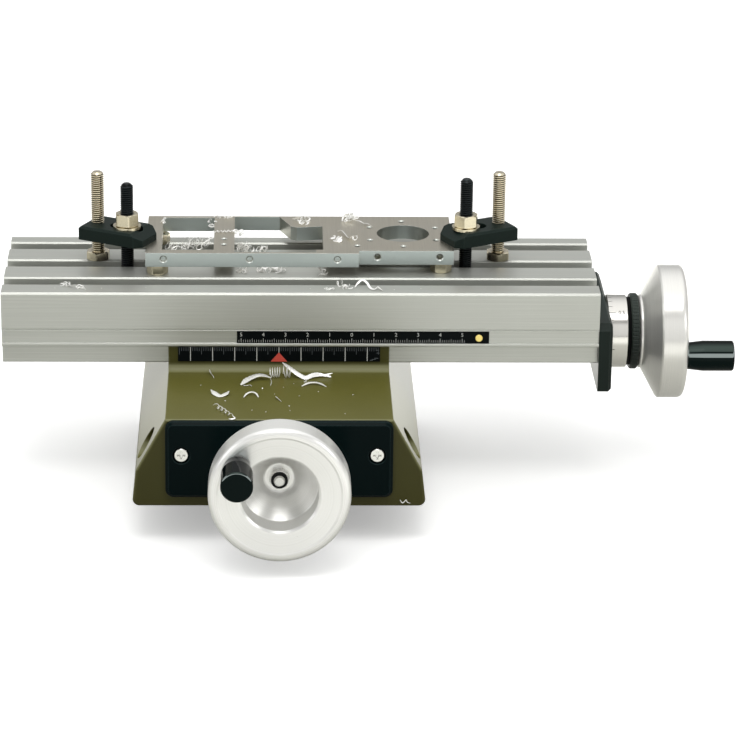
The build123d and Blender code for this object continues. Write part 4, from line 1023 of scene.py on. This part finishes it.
def twisted_wires(bm, surface):
    """A fine helical wire and a flatter one winding beside it."""
    wire = []
    for i in range(61):
        f = i / 60
        wire.append((-30.5 + 12.0 * f, 12.6 + 1.4 * f + 0.35 * math.cos(f * 44),
                     surface + 0.55 + 0.35 * math.sin(f * 44)))
    chip(bm, wire, width=0.5, thick=0.12, up_hint=(0, 1, 0), roll=0.0, taper=0.5)
    wire = [(x, y - 0.5 + 0.9 * math.sin(i * 0.72 + 2.0) * 0.4, z - 0.05)
            for i, (x, y, z) in enumerate(wire)]
    chip(bm, wire, width=0.35, thick=0.1, up_hint=UP, roll=0.0, taper=0.5)


table_top = box_mm("table")[1][2]
work_top = box_mm("workpiece")[1][2]
bm = bmesh.new()
lay(bm, table_top, TABLE_SWARF)
twisted_wires(bm, work_top)
lay(bm, work_top - 0.6, WIRE_END)
lay(bm, work_top, WORK_SWARF)
new_piece("swarf_on_table", bm, "table", swarf_mat, 40)

# ================================================================ floor, light, camera (metres)
scene = bpy.context.scene


def floor_material():
    """Paper that looks white to the camera, shaded in reflections, and bounces little light."""
    m = Mat("pale_floor")
    cloud = m.noise(m.co(), 3.0, 3, 0.5)
    m.set(Base_Color=m.mixc(m.span(cloud, 0.0, 1.0), (0.93, 0.93, 0.925), (0.95, 0.95, 0.945)),
          Roughness=0.9, Specular_IOR_Level=0.1)
    rays = m.node("ShaderNodeLightPath").outputs

    def shader(kind, *values):
        return m.node(kind, dict(enumerate(values))).outputs[0]

    lift = shader("ShaderNodeEmission", (1, 1, 1, 1), 0.34)
    seen = shader("ShaderNodeAddShader", m.bsdf.outputs[0], lift)
    # in reflections: a painted shadow close to the machine, painted light to the rear and to the right
    xyz = m.split(m.co())
    depth = m.math("ADD", xyz[1], 0.5)
    pale, shade = (0.86, 0.86, 0.82), (0.62, 0.62, 0.57)
    paper = shader("ShaderNodeBsdfDiffuse",
                   m.ramp(depth, [(0.26, pale), (0.36, shade), (0.55, shade), (0.63, pale)]))
    side_gain = m.node("ShaderNodeMapRange", {
        "From Min": -0.22, "From Max": 0.22, "To Min": 0.1, "To Max": 1.1, "Value": xyz[0]})
    strength = m.times(side_gain.outputs[0], m.ramp(depth, [
        (0.12, 0.42), (0.27, 0.46), (0.36, 0.06), (0.55, 0.06), (0.66, 0.55), (1.0, 0.65)]))
    glow = shader("ShaderNodeEmission", (1, 1, 0.955, 1), strength)
    mirrored = shader("ShaderNodeAddShader", paper, glow)
    bounce = shader("ShaderNodeBsdfDiffuse", (0.16, 0.16, 0.155, 1))
    direct = shader("ShaderNodeMixShader", rays["Is Glossy Ray"], seen, mirrored)
    m.put(m.out.inputs["Surface"],
          shader("ShaderNodeMixShader", rays["Is Diffuse Ray"], direct, bounce))
    return m.material


bm = bmesh.new()
for x, y in ((-6, -6), (6, -6), (6, 6), (-6, 6)):
    bm.verts.new((x, y, 0))
bm.faces.new(bm.verts[:])
me = bpy.data.meshes.new("floor")
bm.to_mesh(me)
bm.free()
floor = bpy.data.objects.new("floor", me)
scene.collection.objects.link(floor)
me.materials.append(floor_material())
floor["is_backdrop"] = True

# world: (height of the direction, colour)
SKY = [(0.0, (0.26, 0.265, 0.265)),
       *((h, (v, v * 1.005, v * 1.005)) for h, v in ((0.22, 0.30), (0.42, 0.40), (0.75, 0.78))),
       (1.0, (1.0, 1.0, 0.99))]
# the room on the camera's side, in reflections: a broad soft box, a dark gap under the ceiling
SOFT_BOX = [(0.0, (0.20, 0.205, 0.205)),
            *((h, (v, v, v * 0.985)) for h, v in ((0.03, 0.20), (0.07, 0.68), (0.64, 0.74),
                                                  (0.71, 0.22), (0.78, 0.22), (0.85, 0.80))),
            (1.0, (0.95, 0.95, 0.94))]
world = bpy.data.worlds.new("studio")
scene.world = world
world.use_nodes = True
w = Nodes(world.node_tree)
direction = w.split(w.node("ShaderNodeTexCoord").outputs["Generated"])
sky = w.ramp(direction["Z"], SKY)
soft_box = w.ramp(direction["Z"], SOFT_BOX)
toward = w.node("ShaderNodeMapRange", {"From Min": 0.05, "From Max": -0.25, "Value": direction["Y"]})
glossy = w.node("ShaderNodeLightPath").outputs["Is Glossy Ray"]
room = w.mixc(w.times(toward.outputs[0], glossy), sky, soft_box)
background = w.node("ShaderNodeBackground", {"Strength": 1.35, "Color": room})
w.node("ShaderNodeOutputWorld", {"Surface": background.outputs[0]})

AIM = (0.01, -0.03, 0.07)


def area(name, loc, size, size_y, power, colour):
    light = bpy.data.lights.new(name, "AREA")
    light.shape = "RECTANGLE"
    light.size = size
    light.size_y = size_y
    light.energy = power
    light.color = colour
    ob = bpy.data.objects.new(name, light)
    ob.location = loc
    ob.rotation_mode = "QUATERNION"
    ob.rotation_quaternion = (Vector(AIM) - Vector(loc)).to_track_quat("-Z", "Y")
    scene.collection.objects.link(ob)


area("key_high", (-0.05, -0.75, 1.75), size=0.9, size_y=0.6, power=7, colour=(1.0, 0.995, 0.98))
area("window_right", (1.5, -1.1, 0.95), size=0.5, size_y=0.8, power=4.0, colour=(1.0, 1.0, 0.99))
area("side_left", (-1.7, -0.5, 0.8), size=0.8, size_y=0.9, power=3.0, colour=(0.97, 0.99, 1.0))

# camera about 1.6 m away, looking 20.6 degrees below the horizon
CAM_X, CAM_Y, CAM_Z = -0.0077, -1.557, 0.630
cam_data = bpy.data.cameras.new("camera")
cam = bpy.data.objects.new("camera", cam_data)
scene.collection.objects.link(cam)
yaw, pitch, roll = map(math.radians, (1.816, 20.575, 0.741))
forward = Vector((math.sin(yaw) * math.cos(pitch), math.cos(yaw) * math.cos(pitch),
                  -math.sin(pitch)))
level = Vector((math.cos(yaw), -math.sin(yaw), 0.0))
upward = level.cross(forward)
right = level * math.cos(roll) + upward * math.sin(roll)
top = upward * math.cos(roll) - level * math.sin(roll)
cam.matrix_world = Matrix(((right.x, top.x, -forward.x, CAM_X), (right.y, top.y, -forward.y, CAM_Y),
                           (right.z, top.z, -forward.z, CAM_Z), (0, 0, 0, 1)))
cam_data.sensor_fit = "HORIZONTAL"
cam_data.sensor_width = 36.0
cam_data.lens = 174.8641304
cam_data.clip_start, cam_data.clip_end = 0.05, 60.0
scene.camera = cam

scene.view_settings.view_transform = "Standard"
scene.view_settings.look = "None"
scene.view_settings.exposure = 0.0
scene.view_settings.gamma = 1.0

lo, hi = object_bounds()
